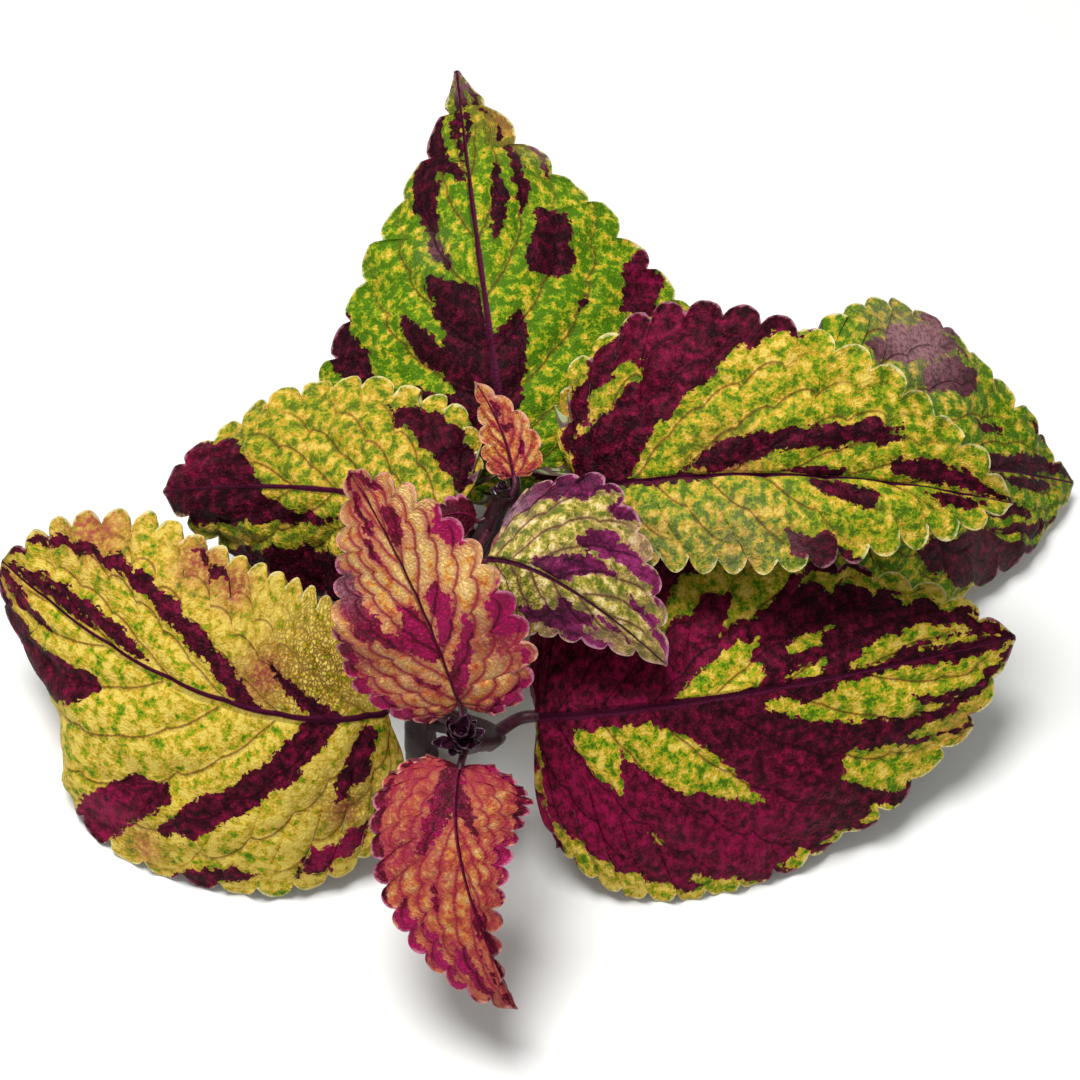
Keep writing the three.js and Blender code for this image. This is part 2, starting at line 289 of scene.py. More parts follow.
@dataclass(frozen=True)
class LeafPlan:
    """A leaf's place, outline and pattern. Points are growing-frame millimetres."""

    name: str
    base: Point
    mid: Point
    tip: Point
    left: Half
    right: Half
    lobe: float
    joint: Point
    size: Size
    scallops: int
    age: Age = Age.MATURE
    gold: float = 0.35
    glow: float = 0.3
    blush: float = 0.0
    rust: float = 0.0


def patch(*hundredths: float) -> Polygon:
    """A patch's corners: each is a vein value and a share of the way out, both in hundredths."""
    return tuple(zip((v / 100 for v in hundredths[::2]), (w / 100 for w in hundredths[1::2])))


FRONT_JOINT = (-12.5, -61.0, 44.5)
OUTER_JOINT = (-24.0, -32.0, 46.0)

LEAVES = (
    LeafPlan(
        "front_left_leaf", base=(-36, -51, 42), mid=(-80, -47, 44), tip=(-134, -5, 40), lobe=0,
        joint=FRONT_JOINT, size=LARGE, scallops=20, gold=0.8, glow=0.2, blush=0.02,
        left=Half(
            widest=(-95, -70, 1), peak=0.56, full=1.1, curl=30, roll=130, lag=0.3,
            patches=(
                patch(41.5, 0, 41, 25, 40.5, 50, 38.5, 63, 36, 73, 33, 77, 32.5, 65, 33.5, 40, 33, 20,
                      32.5, 0),
                patch(49, 52, 46, 48, 42, 55, 38, 72, 35, 85, 30, 100, 29, 110, 36, 110, 38, 95, 43, 82,
                      47, 66),
                patch(14, 77, 11, 67, 5, 62, 3, 85, 9, 90),
                patch(22.5, 84, 17, 84, 14, 120, 22, 120),
                patch(26, 5, 25, 30, 20, 45, 17, 35, 20, 10),
                patch(72, 20, 68, 28, 64, 45, 61, 60, 60, 110, 70, 110, 74, 60, 73, 35),
                patch(80, 25, 78, 60, 78, 120, 95, 120, 97, 40, 88, 20),
            ),
            washes=(
                Wash(Tint.BLUSH, (0.17, 0.5), 4), Wash(Tint.BLUSH, (0.32, 0.85), 5, 0.8),
                Wash(Tint.GLOW, (0.4, 0.8), 9, 0.5), Wash(Tint.GLOW, (0.08, 0.75), 9, 0.7),
                Wash(Tint.GOLD, (0.2, 0.5), 22, 0.2), Wash(Tint.RUST, (0.15, 0.5), 14, 0.6),
                Wash(Tint.BLUSH, (0.85, 0.5), 9, 0.6),
            ),
        ),
        right=Half(
            widest=(-107, 2, 62), peak=0.68, full=1.0, curl=25, lag=0.38,
            patches=(
                patch(50, 0, 48, 20, 47, 35, 47.5, 48, 49, 60, 52.5, 72, 56, 85, 58, 100, 60, 120, 70, 120,
                      67, 100, 64, 85, 60, 72, 57, 62, 55.5, 50, 55, 35, 54, 20, 56, 0),
                patch(31, 80, 30, 90, 27, 93, 24, 85, 26, 78),
                patch(40, 0, 38.5, 15, 37, 30, 34.5, 36, 33.5, 20, 32, 8, 31, 0),
                patch(70, 6, 72, 25, 76, 40, 80, 35, 80, 10, 75, 2),
                patch(80, 5, 80, 35, 82, 60, 86, 75, 97, 60, 98, 5),
            ),
            washes=(
                Wash(Tint.BLUSH, (0.47, 0.9), 9), Wash(Tint.BLUSH, (0.44, 0.2), 7, 0.7),
                Wash(Tint.BLUSH, (0.36, 0.3), 6, 0.6), Wash(Tint.GOLD, (0.2, 0.5), 26, 0.25),
                Wash(Tint.BLUSH, (0.32, 0.82), 7), Wash(Tint.BLUSH, (0.24, 0.8), 6),
                Wash(Tint.RUST, (0.2, 0.4), 22, 0.9),
            ),
        ),
    ),
    LeafPlan(
        "front_right_leaf", base=(-1, -53, 42), mid=(48, -49, 46), tip=(117, -24, 34), lobe=0,
        joint=FRONT_JOINT, size=LARGE, scallops=19, gold=0.56, glow=0.1,
        left=Half(
            widest=(49, -14, 58), peak=0.45, full=0.8, curl=15, lag=0.3, ground=Ground.DARK,
            patches=(
                patch(50, 0, 50.5, 15, 51.5, 36, 54, 36, 56.5, 24, 60, 18, 64, 8, 63, 0),
                patch(35.5, 38, 30, 55, 25.5, 83, 25, 110, 38, 110, 43, 82, 48.5, 58, 45.5, 42, 44.5, 50,
                      40, 65, 37, 73, 35, 68, 34.5, 52),
                patch(63, 22, 60.5, 30, 61, 43, 62, 44, 64.5, 30, 64.5, 22),
                patch(68, 4, 68, 14, 70, 17, 72, 10, 73, 4),
                patch(77, 4, 74, 20, 73, 35, 74, 50, 80, 50, 82, 35, 80, 20, 81, 6),
                patch(84, 12, 83, 30, 84, 40, 87.5, 35, 88, 15),
                patch(45.5, 78, 50, 78, 50, 95, 45.5, 95),
                patch(50, 82, 58, 80, 58, 110, 50, 110),
                patch(58, 85, 60, 75, 66, 78, 67, 120, 58, 120),
                patch(68, 85, 72, 85, 72, 110, 68, 110),
            ),
            washes=(
                Wash(Tint.GOLD, (0.62, 1.0), 8, 0.4), Wash(Tint.GLOW, (0.3, 0.4), 38, 0.4),
            ),
        ),
        right=Half(
            widest=(46, -76, 0.4), peak=0.42, full=0.8, curl=30, lag=0.3, ground=Ground.DARK,
            patches=(
                patch(28, 7, 37, 7, 36, 16, 31.5, 26, 30, 33, 27.5, 38, 26, 30, 25.5, 18),
                patch(38.5, 6, 45, 6, 49, 17, 49, 27, 47.5, 38, 45, 55, 43, 50, 41, 42, 38.5, 40, 36.5, 33,
                      37, 20),
                patch(63, 5, 66, 5, 69.5, 12, 75, 5, 78, 12, 76, 25, 73, 40, 71, 60, 69, 55, 69, 40, 67, 30,
                      65.5, 22, 64, 14),
                patch(35, 6, 40, 6, 38.5, 20, 37, 32, 35, 22),
                patch(75.5, 4, 85, 4, 88, 20, 86, 50, 81, 80, 77, 85, 74, 65, 75, 40, 76.5, 20),
                patch(60, 50, 61, 60, 60, 80, 58.5, 110, 50, 110, 49, 95, 51, 75, 54, 60),
                patch(64, 58, 68, 70, 68, 95, 66, 110, 60, 110, 61, 90, 61.5, 70),
                patch(-20, 42, -8, 52, 0, 68, 6, 77, 11, 81, 15, 92, 19, 95, 20, 86, 24, 90, 27, 100,
                      27, 130, -30, 130),
                patch(31, 93, 35, 93, 35, 120, 31, 120),
                patch(37, 94, 40, 94, 40, 120, 37, 120),
                patch(42.5, 93, 45.5, 93, 45.5, 120, 42.5, 120),
                patch(23.5, 60, 25, 60, 25, 64, 23.5, 64),
            ),
            washes=(
                Wash(Tint.GLOW, (0.15, 0.5), 28, 0.55), Wash(Tint.GLOW, (0.35, 0.75), 22, 0.45),
                Wash(Tint.GOLD, (0.05, 0.95), 18, 0.3), Wash(Tint.BLUSH, (-0.1, 0.8), 9, 0.6),
                Wash(Tint.BLUSH, (0.62, 0.85), 6, 0.5),
            ),
        ),
    ),
    LeafPlan(
        "rising_young_leaf", base=(-18, -63, 63), mid=(-28, -49, 88), tip=(-42, -29, 104), lobe=0.05,
        joint=(-17, -67.5, 53.5), size=SMALL, scallops=14, age=Age.YOUNG, gold=0.95, glow=0.4,
        blush=0.04, rust=0.4,
        left=Half(
            widest=(-47, -53, 74), peak=0.3, full=0.3, curl=25, lag=0.45, first_vein=0.0, vein_pitch=0.1,
            patches=(
                patch(38, 0, 36, 7, 33, 20, 30, 37, 26.5, 50, 20.5, 68, 22, 80, 20, 110, 32, 110, 33, 90,
                      37, 76, 35, 64, 34.5, 55, 34.5, 42, 36.5, 33, 40, 28, 45, 25, 50, 22, 52.5, 15, 53, 8,
                      50, 0),
                patch(60, 50, 64, 38, 63.5, 27, 60.5, 25, 58.5, 38),
                patch(66, 35, 70, 25, 72, 22, 75, 30, 80, 35, 85, 30, 90, 30, 85, 70, 75, 75, 68, 70,
                      65, 55),
                patch(12, 82, 10, 90, 12, 110, -30, 110, -30, 60, -15, 60, -10, 70, -5, 80, 0, 86, 5, 85),
                patch(24, 14, 22, 30, 20, 32, 21, 14),
            ),
            washes=(
                Wash(Tint.BLUSH, (0.05, 0.85), 7, 0.8), Wash(Tint.GREY, (0.26, 0.92), 6, 0.5),
                Wash(Tint.GLOW, (-0.1, 0.8), 8, 0.8), Wash(Tint.BLUSH, (0.45, 0.12), 4, 0.6),
                Wash(Tint.GLOW, (0.45, 0.12), 6, 0.4), Wash(Tint.GOLD, (0.5, 0.6), 12, 0.15),
                Wash(Tint.BLUSH, (0.1, 0.45), 9, 0.45),
            ),
        ),
        right=Half(
            widest=(-1, -60, 80), peak=0.25, full=0.8, curl=25, lag=0.33, first_vein=0.0, vein_pitch=0.1,
            patches=(
                patch(55.5, 12, 52, 30, 50.5, 33, 47.5, 34, 44.5, 40, 42.5, 43, 40, 36, 38.5, 25, 39, 12,
                      41, 3, 43, 6, 48.5, 12, 53, 12),
                patch(34, 50, 31, 50, 29, 44, 27.5, 36, 25, 25, 23, 12, 22, 0, 33, 0, 34.5, 8, 35, 20,
                      35.5, 33, 34.5, 42),
                patch(72, 8, 69, 20, 65.5, 30, 65, 40, 67.5, 48, 73, 42, 78, 30, 80, 15, 78, 5),
                patch(82, 45, 80, 70, 76, 90, 72, 90, 69, 70, 70, 55, 76, 42),
                patch(48.5, 72, 46, 85, 43, 95, 38, 110, 31, 105, 33, 93, 36, 87, 40, 76, 44, 70),
                patch(25.5, 78, 21, 88, 17, 110, 6, 110, 6, 97, 10, 87, 14, 76, 20, 67, 24, 69),
                patch(6, 80, 4, 83, 2, 90, 3, 94, 5.5, 90),
                patch(4, 45, 3, 60, 2.5, 75, -2, 85, -5, 100, -12, 110, -20, 110, -20, 80, -10, 55, -5, 45),
            ),
            washes=(
                Wash(Tint.GLOW, (0.4, 0.9), 6), Wash(Tint.GLOW, (0.15, 0.85), 8),
                Wash(Tint.GLOW, (0, 0.8), 9), Wash(Tint.GLOW, (0.45, 0.2), 7, 0.6),
                Wash(Tint.BLUSH, (0.2, 0.6), 5, 0.7), Wash(Tint.BLUSH, (0.05, 0.95), 7, 0.8),
                Wash(Tint.GOLD, (0.5, 0.7), 14, 0.3), Wash(Tint.BLUSH, (0.12, 0.3), 6, 0.4),
            ),
        ),
    ),
    LeafPlan(
        "drooping_young_leaf", base=(-18, -75, 55), mid=(-17, -97, 46), tip=(-5, -118, 22), lobe=0.02,
        joint=(-16.5, -66.5, 51.5), size=SMALL, scallops=15, age=Age.YOUNG, gold=0.5, glow=0.22,
        blush=0.22, rust=0.45,
        left=Half(
            widest=(-2, -83, 52), peak=0.2, full=-0.4, curl=20, lag=0.5, first_vein=0.07,
            vein_pitch=0.13,
            patches=(
                patch(42, 0, 41, 6, 38, 15, 36, 30, 33, 40, 30, 30, 26, 12, 20, 8, 10, 10, 0, 25, -10, 35,
                      -30, 40, -50, 40, -50, 0),
                patch(-15, 60, -15, 110, -50, 110, -50, 50, -30, 50),
                patch(20, 64, 17, 70, 10, 78, 6, 88, 5, 110, 17, 110, 20, 90, 22, 75),
                patch(24, 72, 20, 80, 20, 110, 26, 110, 27, 85),
                patch(62, 20, 60, 40, 56, 60, 60, 70, 68, 40, 68, 20),
                patch(40, 90, 38, 110, 50, 110, 60, 90, 50, 85),
                patch(68, 8, 66, 25, 63, 45, 62, 60, 67, 72, 73, 62, 76, 80, 95, 70, 97, 5, 75, 5),
                patch(-50, 55, -20, 76, 0, 86, 8, 95, 8, 110, -50, 110),
            ),
            washes=(
                Wash(Tint.BLUSH, (-0.05, 0.5), 7, 0.9), Wash(Tint.BLUSH, (-0.05, 1.0), 6, 0.8),
                Wash(Tint.BLUSH, (0.4, 0.85), 5, 0.7), Wash(Tint.GLOW, (0.15, 0.85), 6, 0.8),
                Wash(Tint.GLOW, (-0.3, 0.8), 8, 0.6),
            ),
        ),
        right=Half(
            widest=(-38, -87, 48), peak=0.3, full=1.15, curl=20, lag=0.5, first_vein=0.07,
            vein_pitch=0.13,
            patches=(
                patch(42, 0, 41, 6, 39, 20, 36, 33, 33, 42, 30, 45, 27, 38, 24, 30, 20, 20, 10, 22, 0, 30,
                      -10, 38, -25, 42, -50, 42, -50, 0, 20, 0),
                patch(18, 84, 22, 76, 25, 75, 27, 80, 27, 90, 26, 110, 14, 110, 15, 95),
                patch(35, 62, 39, 66, 42, 75, 43, 95, 40, 110, 32, 110, 31, 95, 33, 80),
                patch(47, 36, 46, 44, 43, 50, 42, 42, 44, 36),
                patch(55, 46, 62, 38, 66, 40, 69, 45, 66, 55, 60, 65, 56, 72, 52, 72, 50, 60, 52, 50),
                patch(75, 20, 74, 50, 76, 80, 95, 80, 97, 20),
                patch(74, 0, 73, 10, 78, 15, 80, 0),
                patch(-50, 55, -25, 72, -5, 84, 10, 90, 10, 110, -50, 110),
                patch(60, 80, 66, 72, 70, 80, 68, 110, 56, 110),
            ),
            washes=(
                Wash(Tint.BLUSH, (-0.1, 0.7), 8, 0.9), Wash(Tint.BLUSH, (0, 0.95), 5, 0.8),
                Wash(Tint.BLUSH, (0.24, 0.5), 6, 0.8), Wash(Tint.BLUSH, (0.5, 0.25), 4, 0.5),
                Wash(Tint.BLUSH, (0.6, 0.9), 5, 0.7), Wash(Tint.GOLD, (0.48, 0.95), 6, 0.6),
                Wash(Tint.GLOW, (0.2, 0.95), 6), Wash(Tint.GLOW, (0.37, 0.85), 7),
                Wash(Tint.GLOW, (0.3, 0.3), 5, 0.5),
            ),
        ),
    ),
    LeafPlan(
        "upper_left_leaf", base=(-20, -21, 77), mid=(-53, -8, 72), tip=(-94, 9, 50), lobe=0,
        joint=(-15, -26, 71.5), size=LARGE, scallops=14, gold=0.44, glow=0.08, blush=0.16,
        left=Half(
            widest=(-51, -20, 44), peak=0.4, full=0.95, curl=30, lag=0.3,
            patches=(
                patch(50, 0, 49, 15, 51, 28, 56, 31, 60, 33, 64, 38, 66, 42, 67.5, 58, 66.5, 80, 66, 110,
                      100, 110, 100, 0),
                patch(48, 52, 53, 58, 55.5, 68, 55.5, 80, 56, 110, 20, 120, 20, 50, 30, 40, 40, 50),
                patch(10, 50, 0, 50, -10, 70, -10, 110, 6, 110, 10, 80),
            ),
            holes=(
                patch(40, 0, 76, 0, 75.5, 5, 72, 10, 66, 17, 58, 20, 45, 22),
            ),
        ),
        right=Half(
            widest=(-51, 21, 80), peak=0.4, full=0.9, curl=30, lag=0.3,
            patches=(
                patch(24.5, 75, 24, 62, 22.5, 52, 20, 42, 15, 33, 12, 18, 5, 15, 0, 20, -10, 30, -10, 70,
                      0, 78, 6, 80, 10, 80, 15, 82, 20, 78),
                patch(76, 0, 74.5, 8, 72, 20, 69, 32, 66, 45, 62, 60, 60.5, 75, 59, 90, 57, 115, 100, 115,
                      100, 0),
            ),
            washes=(
                Wash(Tint.GOLD, (0.3, 0.7), 20, 0.1), Wash(Tint.GLOW, (0.66, 0.9), 9, 0.35),
            ),
        ),
    ),
    LeafPlan(
        "upper_right_leaf", base=(11, -11, 75), mid=(58, -14, 84), tip=(112, -11, 70), lobe=0.04,
        joint=(-13, -25, 74), size=LARGE, scallops=17, gold=0.42, glow=0.08, blush=0.06,
        left=Half(
            widest=(37, 22, 104), peak=0.3, full=0.5, curl=30, roll=60, lag=0.36, first_vein=0.02,
            vein_pitch=0.1,
            patches=(
                patch(81, 10, 79, 40, 80, 80, 86, 90, 95, 50, 95, 10),
                patch(31, 0, 29.5, 15, 28.5, 30, 28.5, 42, 27.5, 55, 24, 75, 24.5, 95, 25, 120, -3, 120,
                      -5, 90, -7, 70, -6, 50, -2, 35, 2, 20, 10, 0),
                patch(41, 3, 42, 14, 43.5, 22, 47, 27, 50, 31, 54, 40, 54.5, 55, 56, 62, 58.5, 57, 59, 50,
                      61, 52, 63, 47, 63, 37, 61, 27, 60.5, 20, 59, 22, 56, 18, 53, 9, 50, 3, 48.5, 0,
                      46, 6, 43, 5),
                patch(60, 0, 61, 8, 70, 8, 72, 0),
                patch(70, 25, 71, 45, 76, 50, 84, 30, 84, 10, 76, 10),
            ),
            holes=(
                patch(4, 60, 7, 68, 11, 70, 14, 62, 13, 52, 10, 42, 7, 38, 5, 48),
            ),
            washes=(
                Wash(Tint.GLOW, (0.1, 0.75), 20, 0.25), Wash(Tint.GOLD, (0.28, 0.75), 10, 0.3),
                Wash(Tint.GOLD, (0.42, 0.75), 5, 0.3), Wash(Tint.GOLD, (-0.18, 0.8), 10, 0.3),
                Wash(Tint.BLUSH, (-0.1, 0.75), 6, 0.5), Wash(Tint.BLUSH, (0.5, 0.05), 8, 0.7),
            ),
        ),
        right=Half(
            widest=(57, -34, 74), peak=0.45, full=0.6, curl=40, roll=60, lag=0.14,
            patches=(
                patch(20, 0, 22, 8, 45, 8, 48, 0),
                patch(66, 4, 71, 8, 74, 20, 73, 30, 70, 40, 66.5, 42, 64.5, 25, 64, 10),
                patch(49, 62, 47.5, 72, 45, 85, 46, 110, 54, 110, 56, 85, 55, 72, 52, 65),
                patch(83, 15, 82, 40, 88, 50, 93, 30, 90, 10),
            ),
            washes=(
                Wash(Tint.GREY, (0.35, 0.85), 14, 0.6), Wash(Tint.GREY, (0.18, 0.8), 9, 0.5),
            ),
        ),
    ),
    LeafPlan(
        "tall_back_leaf", base=(-7, -7, 78), mid=(-14, 35, 102), tip=(-21, 95, 112), lobe=0.03,
        joint=(-18, -28, 64), size=LARGE, scallops=15, gold=0.16, glow=0.0,
        left=Half(
            widest=(-58, 37, 74), peak=0.3, full=-0.1, curl=15, lag=0.35,
            patches=(
                patch(60, 0, 59, 6, 57.5, 13, 55.5, 22, 52.5, 34, 50, 38, 47, 32, 45.5, 25, 43, 22, 42, 27,
                      43, 36, 40.5, 54, 37.5, 46, 36, 38, 36.5, 27, 34.5, 20, 32, 27, 31.5, 38, 28, 46,
                      26, 40, 24, 30, 20, 20, 20, 0),
                patch(53, 110, 60, 110, 63, 90, 66, 72, 68.5, 58, 68, 45, 65, 36, 60, 36, 57, 45, 55, 60,
                      53, 72, 52, 90),
                patch(60, 50, 59, 40, 60, 28, 58.5, 20, 56, 25, 55.5, 38, 56.5, 50),
                patch(80, 5, 77, 20, 72, 40, 68, 70, 65, 80, 63, 70, 66, 50, 70, 35, 74, 20, 77, 5),
                patch(25.5, 58, 28, 75, 26.5, 90, 27, 110, 17, 110, 19, 90, 21, 75, 23.5, 58),
                patch(82, 2, 80, 20, 81, 60, 84, 110, 100, 110, 100, 2),
            ),
            washes=(
                Wash(Tint.GREY, (0.57, 0.35), 5, 0.35), Wash(Tint.GREY, (0.97, 0.05), 5, 0.9),
            ),
        ),
        right=Half(
            widest=(37, 42, 84), peak=0.38, full=0, curl=15, lag=0.4,
            patches=(
                patch(50, 0, 50, 5, 49.5, 15, 47, 18, 43, 15, 40, 14, 36, 10, 32, 10, 30, 0),
                patch(54.5, 25, 55, 32, 54, 45, 53.5, 52, 50, 60, 46, 68, 44, 66, 42, 60, 41.5, 50, 44, 42,
                      47.5, 35, 50, 30, 52, 25),
                patch(62.5, 65, 60, 75, 56.5, 70, 56, 55, 57.5, 40, 61, 38, 62.5, 50),
                patch(67.5, 10, 71, 20, 70, 32, 67, 38, 63.5, 32, 63, 20, 64.5, 10),
                patch(79, 45, 74, 55, 68, 60, 63, 70, 62, 95, 66, 110, 80, 110, 82, 70),
                patch(28.5, 70, 26.5, 68, 21, 74, 17.5, 85, 19, 100, 21.5, 105, 25, 95, 27.5, 85),
                patch(44, 88, 47, 88, 47, 110, 44, 110),
                patch(37.5, 44, 37, 50, 35.5, 50, 36, 44),
                patch(85, 2, 82, 30, 82, 100, 90, 110, 100, 100, 100, 2),
            ),
            washes=(
                Wash(Tint.BLUSH, (0.5, 1.0), 8, 0.7), Wash(Tint.GREY, (0.455, 0.95), 5, 0.5),
                Wash(Tint.GLOW, (0.22, 0.9), 9, 0.4), Wash(Tint.GREY, (0.97, 0.05), 5, 0.9),
            ),
        ),
    ),
    LeafPlan(
        "crown_right_leaf", base=(-12, -37, 82), mid=(5, -44, 82), tip=(29, -52, 62), lobe=-0.1,
        joint=(-11.5, -24, 78), size=SMALL, scallops=12, age=Age.TURNING, gold=0.46, glow=0.3,
        left=Half(
            widest=(13, -18, 90), peak=0.45, full=0.5, curl=15, lag=0.3, first_vein=0.04,
            patches=(
                patch(5, 12, 10, 30, 13, 50, 17, 62, 21.5, 70, 26, 66, 28.5, 76, 25, 86, 26, 100, 25, 120,
                      2, 120, -2, 85, -6, 60, -10, 40, -10, 12),
                patch(27, 98, 30, 86, 33, 82, 36, 86, 34.5, 110, 28, 110),
                patch(44, 42, 42.5, 50, 41, 62, 43, 75, 46, 80, 47, 88, 48, 100, 53, 105, 58, 97, 57, 85,
                      54.5, 75, 54, 62, 52, 52, 50, 40, 47, 38),
                patch(45, 0, 46, 10, 49, 20, 52, 35, 54, 45, 58, 50, 60, 45, 60, 30, 61, 15, 62, 0),
                patch(66.5, 45, 65.5, 60, 67, 80, 68, 95, 76, 85, 78, 70, 74, 55, 70, 45),
            ),
            washes=(
                Wash(Tint.GREY, (-0.05, 0.8), 7, 0.8), Wash(Tint.GLOW, (0.5, 0.8), 7, 0.5),
                Wash(Tint.BLUSH, (0.43, 0.9), 4, 0.5), Wash(Tint.GLOW, (0.72, 0.7), 6, 0.5),
            ),
        ),
        right=Half(
            widest=(0, -49, 66), peak=0.4, full=0.2, curl=25, lag=0.3, first_vein=0.04,
            patches=(
                patch(30, 50, 36, 46, 45, 44, 52, 40, 55, 28, 57, 18, 62, 20, 68, 28, 66, 45, 60, 52,
                      56, 62, 55, 75, 57, 90, 55, 110, 44, 110, 40, 85, 33, 75),
                patch(74.5, 12, 73, 30, 76, 42, 80, 38, 80, 22, 77, 10),
            ),
            washes=(
                Wash(Tint.BLUSH, (0.5, 0.95), 5, 0.7), Wash(Tint.GLOW, (0.5, 0.9), 5, 0.6),
                Wash(Tint.BLUSH, (0.35, 0.95), 4, 0.4),
            ),
        ),
    ),
    LeafPlan(
        "crown_left_leaf", base=(-15, -25, 82), mid=(-20, -26, 85), tip=(-27, -28, 83), lobe=0.04,
        joint=(-10, -23, 81.5), size=TINY, scallops=6, age=Age.YOUNG, glow=0.0,
        left=Half(
            widest=(-20, -30, 80), peak=0.34, full=0.3, curl=10, lag=0.3, ground=Ground.DARK,
        ),
        right=Half(
            widest=(-20, -21, 86), peak=0.34, full=0.3, curl=10, lag=0.3, ground=Ground.DARK,
        ),
    ),
    LeafPlan(
        "crown_back_leaf", base=(-6, -17.5, 88), mid=(-9, -9, 95), tip=(-15, 0, 101), lobe=0,
        joint=(-10, -23.2, 82), size=TINY, scallops=6, age=Age.YOUNG, gold=0.55, glow=0.2,
        left=Half(
            widest=(-14, -10, 90), peak=0.3, full=0.2, curl=0, lag=0.35, vein_pitch=0.14,
            patches=(
                patch(-10, 30, 0, 50, 10, 60, 18, 50, 15, 20, 0, 10),
            ),
        ),
        right=Half(
            widest=(0, -10, 92), peak=0.3, full=0.3, curl=0, lag=0.35, vein_pitch=0.14,
            patches=(
                patch(75, 15, 72, 35, 66, 35, 62, 25, 55, 25, 50, 45, 42, 50, 42, 42, 48, 30, 50, 12, 53, 5,
                      60, 10, 68, 8),
                patch(34, 30, 32, 45, 28, 50, 26, 30),
            ),
        ),
    ),
    LeafPlan(
        "far_right_leaf", base=(41, 9, 58), mid=(94, 20, 48), tip=(147, 48, 6), lobe=-0.15,
        joint=OUTER_JOINT, size=LARGE, scallops=17, gold=0.24, glow=0.06,
        left=Half(
            widest=(98, 67, 58), peak=0.55, full=0, curl=30, lag=0.35,
            patches=(
                patch(27, 66, 28, 80, 30, 90, 35, 93, 38, 92, 38.5, 85, 39.5, 75, 40, 62, 37.5, 55, 33, 57),
                patch(40.5, 68, 40, 82, 43, 84, 45.5, 78, 50, 68, 52, 60, 49, 50, 46.5, 48, 43, 55),
                patch(27, 93, 31, 90, 34, 97, 32, 110, 27, 110),
                patch(56, 84, 54.5, 92, 52, 100, 54.5, 105, 58, 95),
                patch(60, 42, 62, 36, 65.5, 38, 65, 50, 61.5, 52),
                patch(70, 0, 73, 5, 76, 20, 74, 40, 72, 60, 66, 80, 66, 100, 72, 90, 80, 50, 85, 30, 90, 0),
                patch(10, 10, 12, 40, 20, 50, 30, 30, 30, 5),
            ),
            washes=(
                Wash(Tint.GREY, (0.33, 0.76), 14, 1.2),
            ),
        ),
        right=Half(
            widest=(119, 10, 0), peak=0.62, full=0.6, curl=30, lag=0.35,
            patches=(
                patch(56, 45, 53, 50, 46, 50, 41, 55, 38, 70, 37, 85, 39, 110, 52, 110, 53, 85, 55, 75,
                      57, 60),
                patch(59, 55, 57, 70, 56, 85, 58, 100, 62, 85, 63, 65),
                patch(60, 0, 58.5, 8, 57, 15, 60, 25, 65, 20, 68, 12, 69, 0),
                patch(64, 35, 63, 50, 67, 55, 71, 40, 68, 30),
                patch(76, 3, 78, 15, 80, 30, 88, 20, 90, 5),
            ),
            washes=(
                Wash(Tint.GREY, (0.45, 0.8), 12, 0.15),
            ),
        ),
    ),
    LeafPlan(
        "far_left_leaf", base=(-46, 14, 42), mid=(-66, 38, 38), tip=(-82, 66, 1), lobe=0.03,
        joint=OUTER_JOINT, size=LARGE, scallops=15, gold=0.3, glow=0.1,
        left=Half(
            widest=(-92, 24, 24), peak=0.34, full=0.3, curl=25, lag=0.3,
            patches=(
                patch(30, 0, 33, 20, 30, 45, 24, 60, 22, 30, 20, 0),
                patch(50, 50, 46, 70, 42, 110, 52, 110, 56, 70),
                patch(70, 0, 68, 40, 62, 80, 70, 80, 80, 40, 86, 0),
                patch(5, 50, 0, 80, 2, 110, 14, 110, 14, 70),
            ),
        ),
        right=Half(
            widest=(-36, 52, 24), peak=0.34, full=0.3, curl=25, lag=0.3,
            patches=(
                patch(42, 0, 40, 30, 34, 50, 28, 30, 30, 0),
                patch(15, 60, 10, 90, 12, 110, 25, 110, 28, 80),
                patch(62, 30, 56, 60, 54, 90, 64, 90, 70, 50),
            ),
        ),
    ),
    LeafPlan(
        "low_back_leaf", base=(0, 14, 40), mid=(12, 48, 36), tip=(24, 88, 1), lobe=0.03,
        joint=(-29.5, -36, 20), size=LARGE, scallops=15, gold=0.3, glow=0.1,
        left=Half(
            widest=(-24, 54, 16), peak=0.34, full=0.3, curl=25, lag=0.3,
            patches=(
                patch(45, 0, 42, 35, 34, 60, 26, 40, 26, 0),
                patch(62, 20, 55, 60, 50, 110, 62, 110, 70, 60),
                patch(10, 70, 6, 110, 20, 110, 22, 80),
            ),
        ),
        right=Half(
            widest=(48, 38, 20), peak=0.34, full=0.3, curl=25, lag=0.3,
            patches=(
                patch(36, 0, 36, 30, 30, 60, 22, 70, 20, 30, 24, 0),
                patch(50, 70, 46, 110, 58, 110, 60, 80),
                patch(78, 0, 74, 40, 70, 80, 84, 60, 90, 0),
            ),
        ),
    ),
)


# --- node trees ---------------------------------------------------------------------------------

MATH, VECTOR = "ShaderNodeMath", "ShaderNodeVectorMath"
RANGE, NOISE = "ShaderNodeMapRange", "ShaderNodeTexNoise"
SMOOTH = {"interpolation_type": "SMOOTHSTEP"}


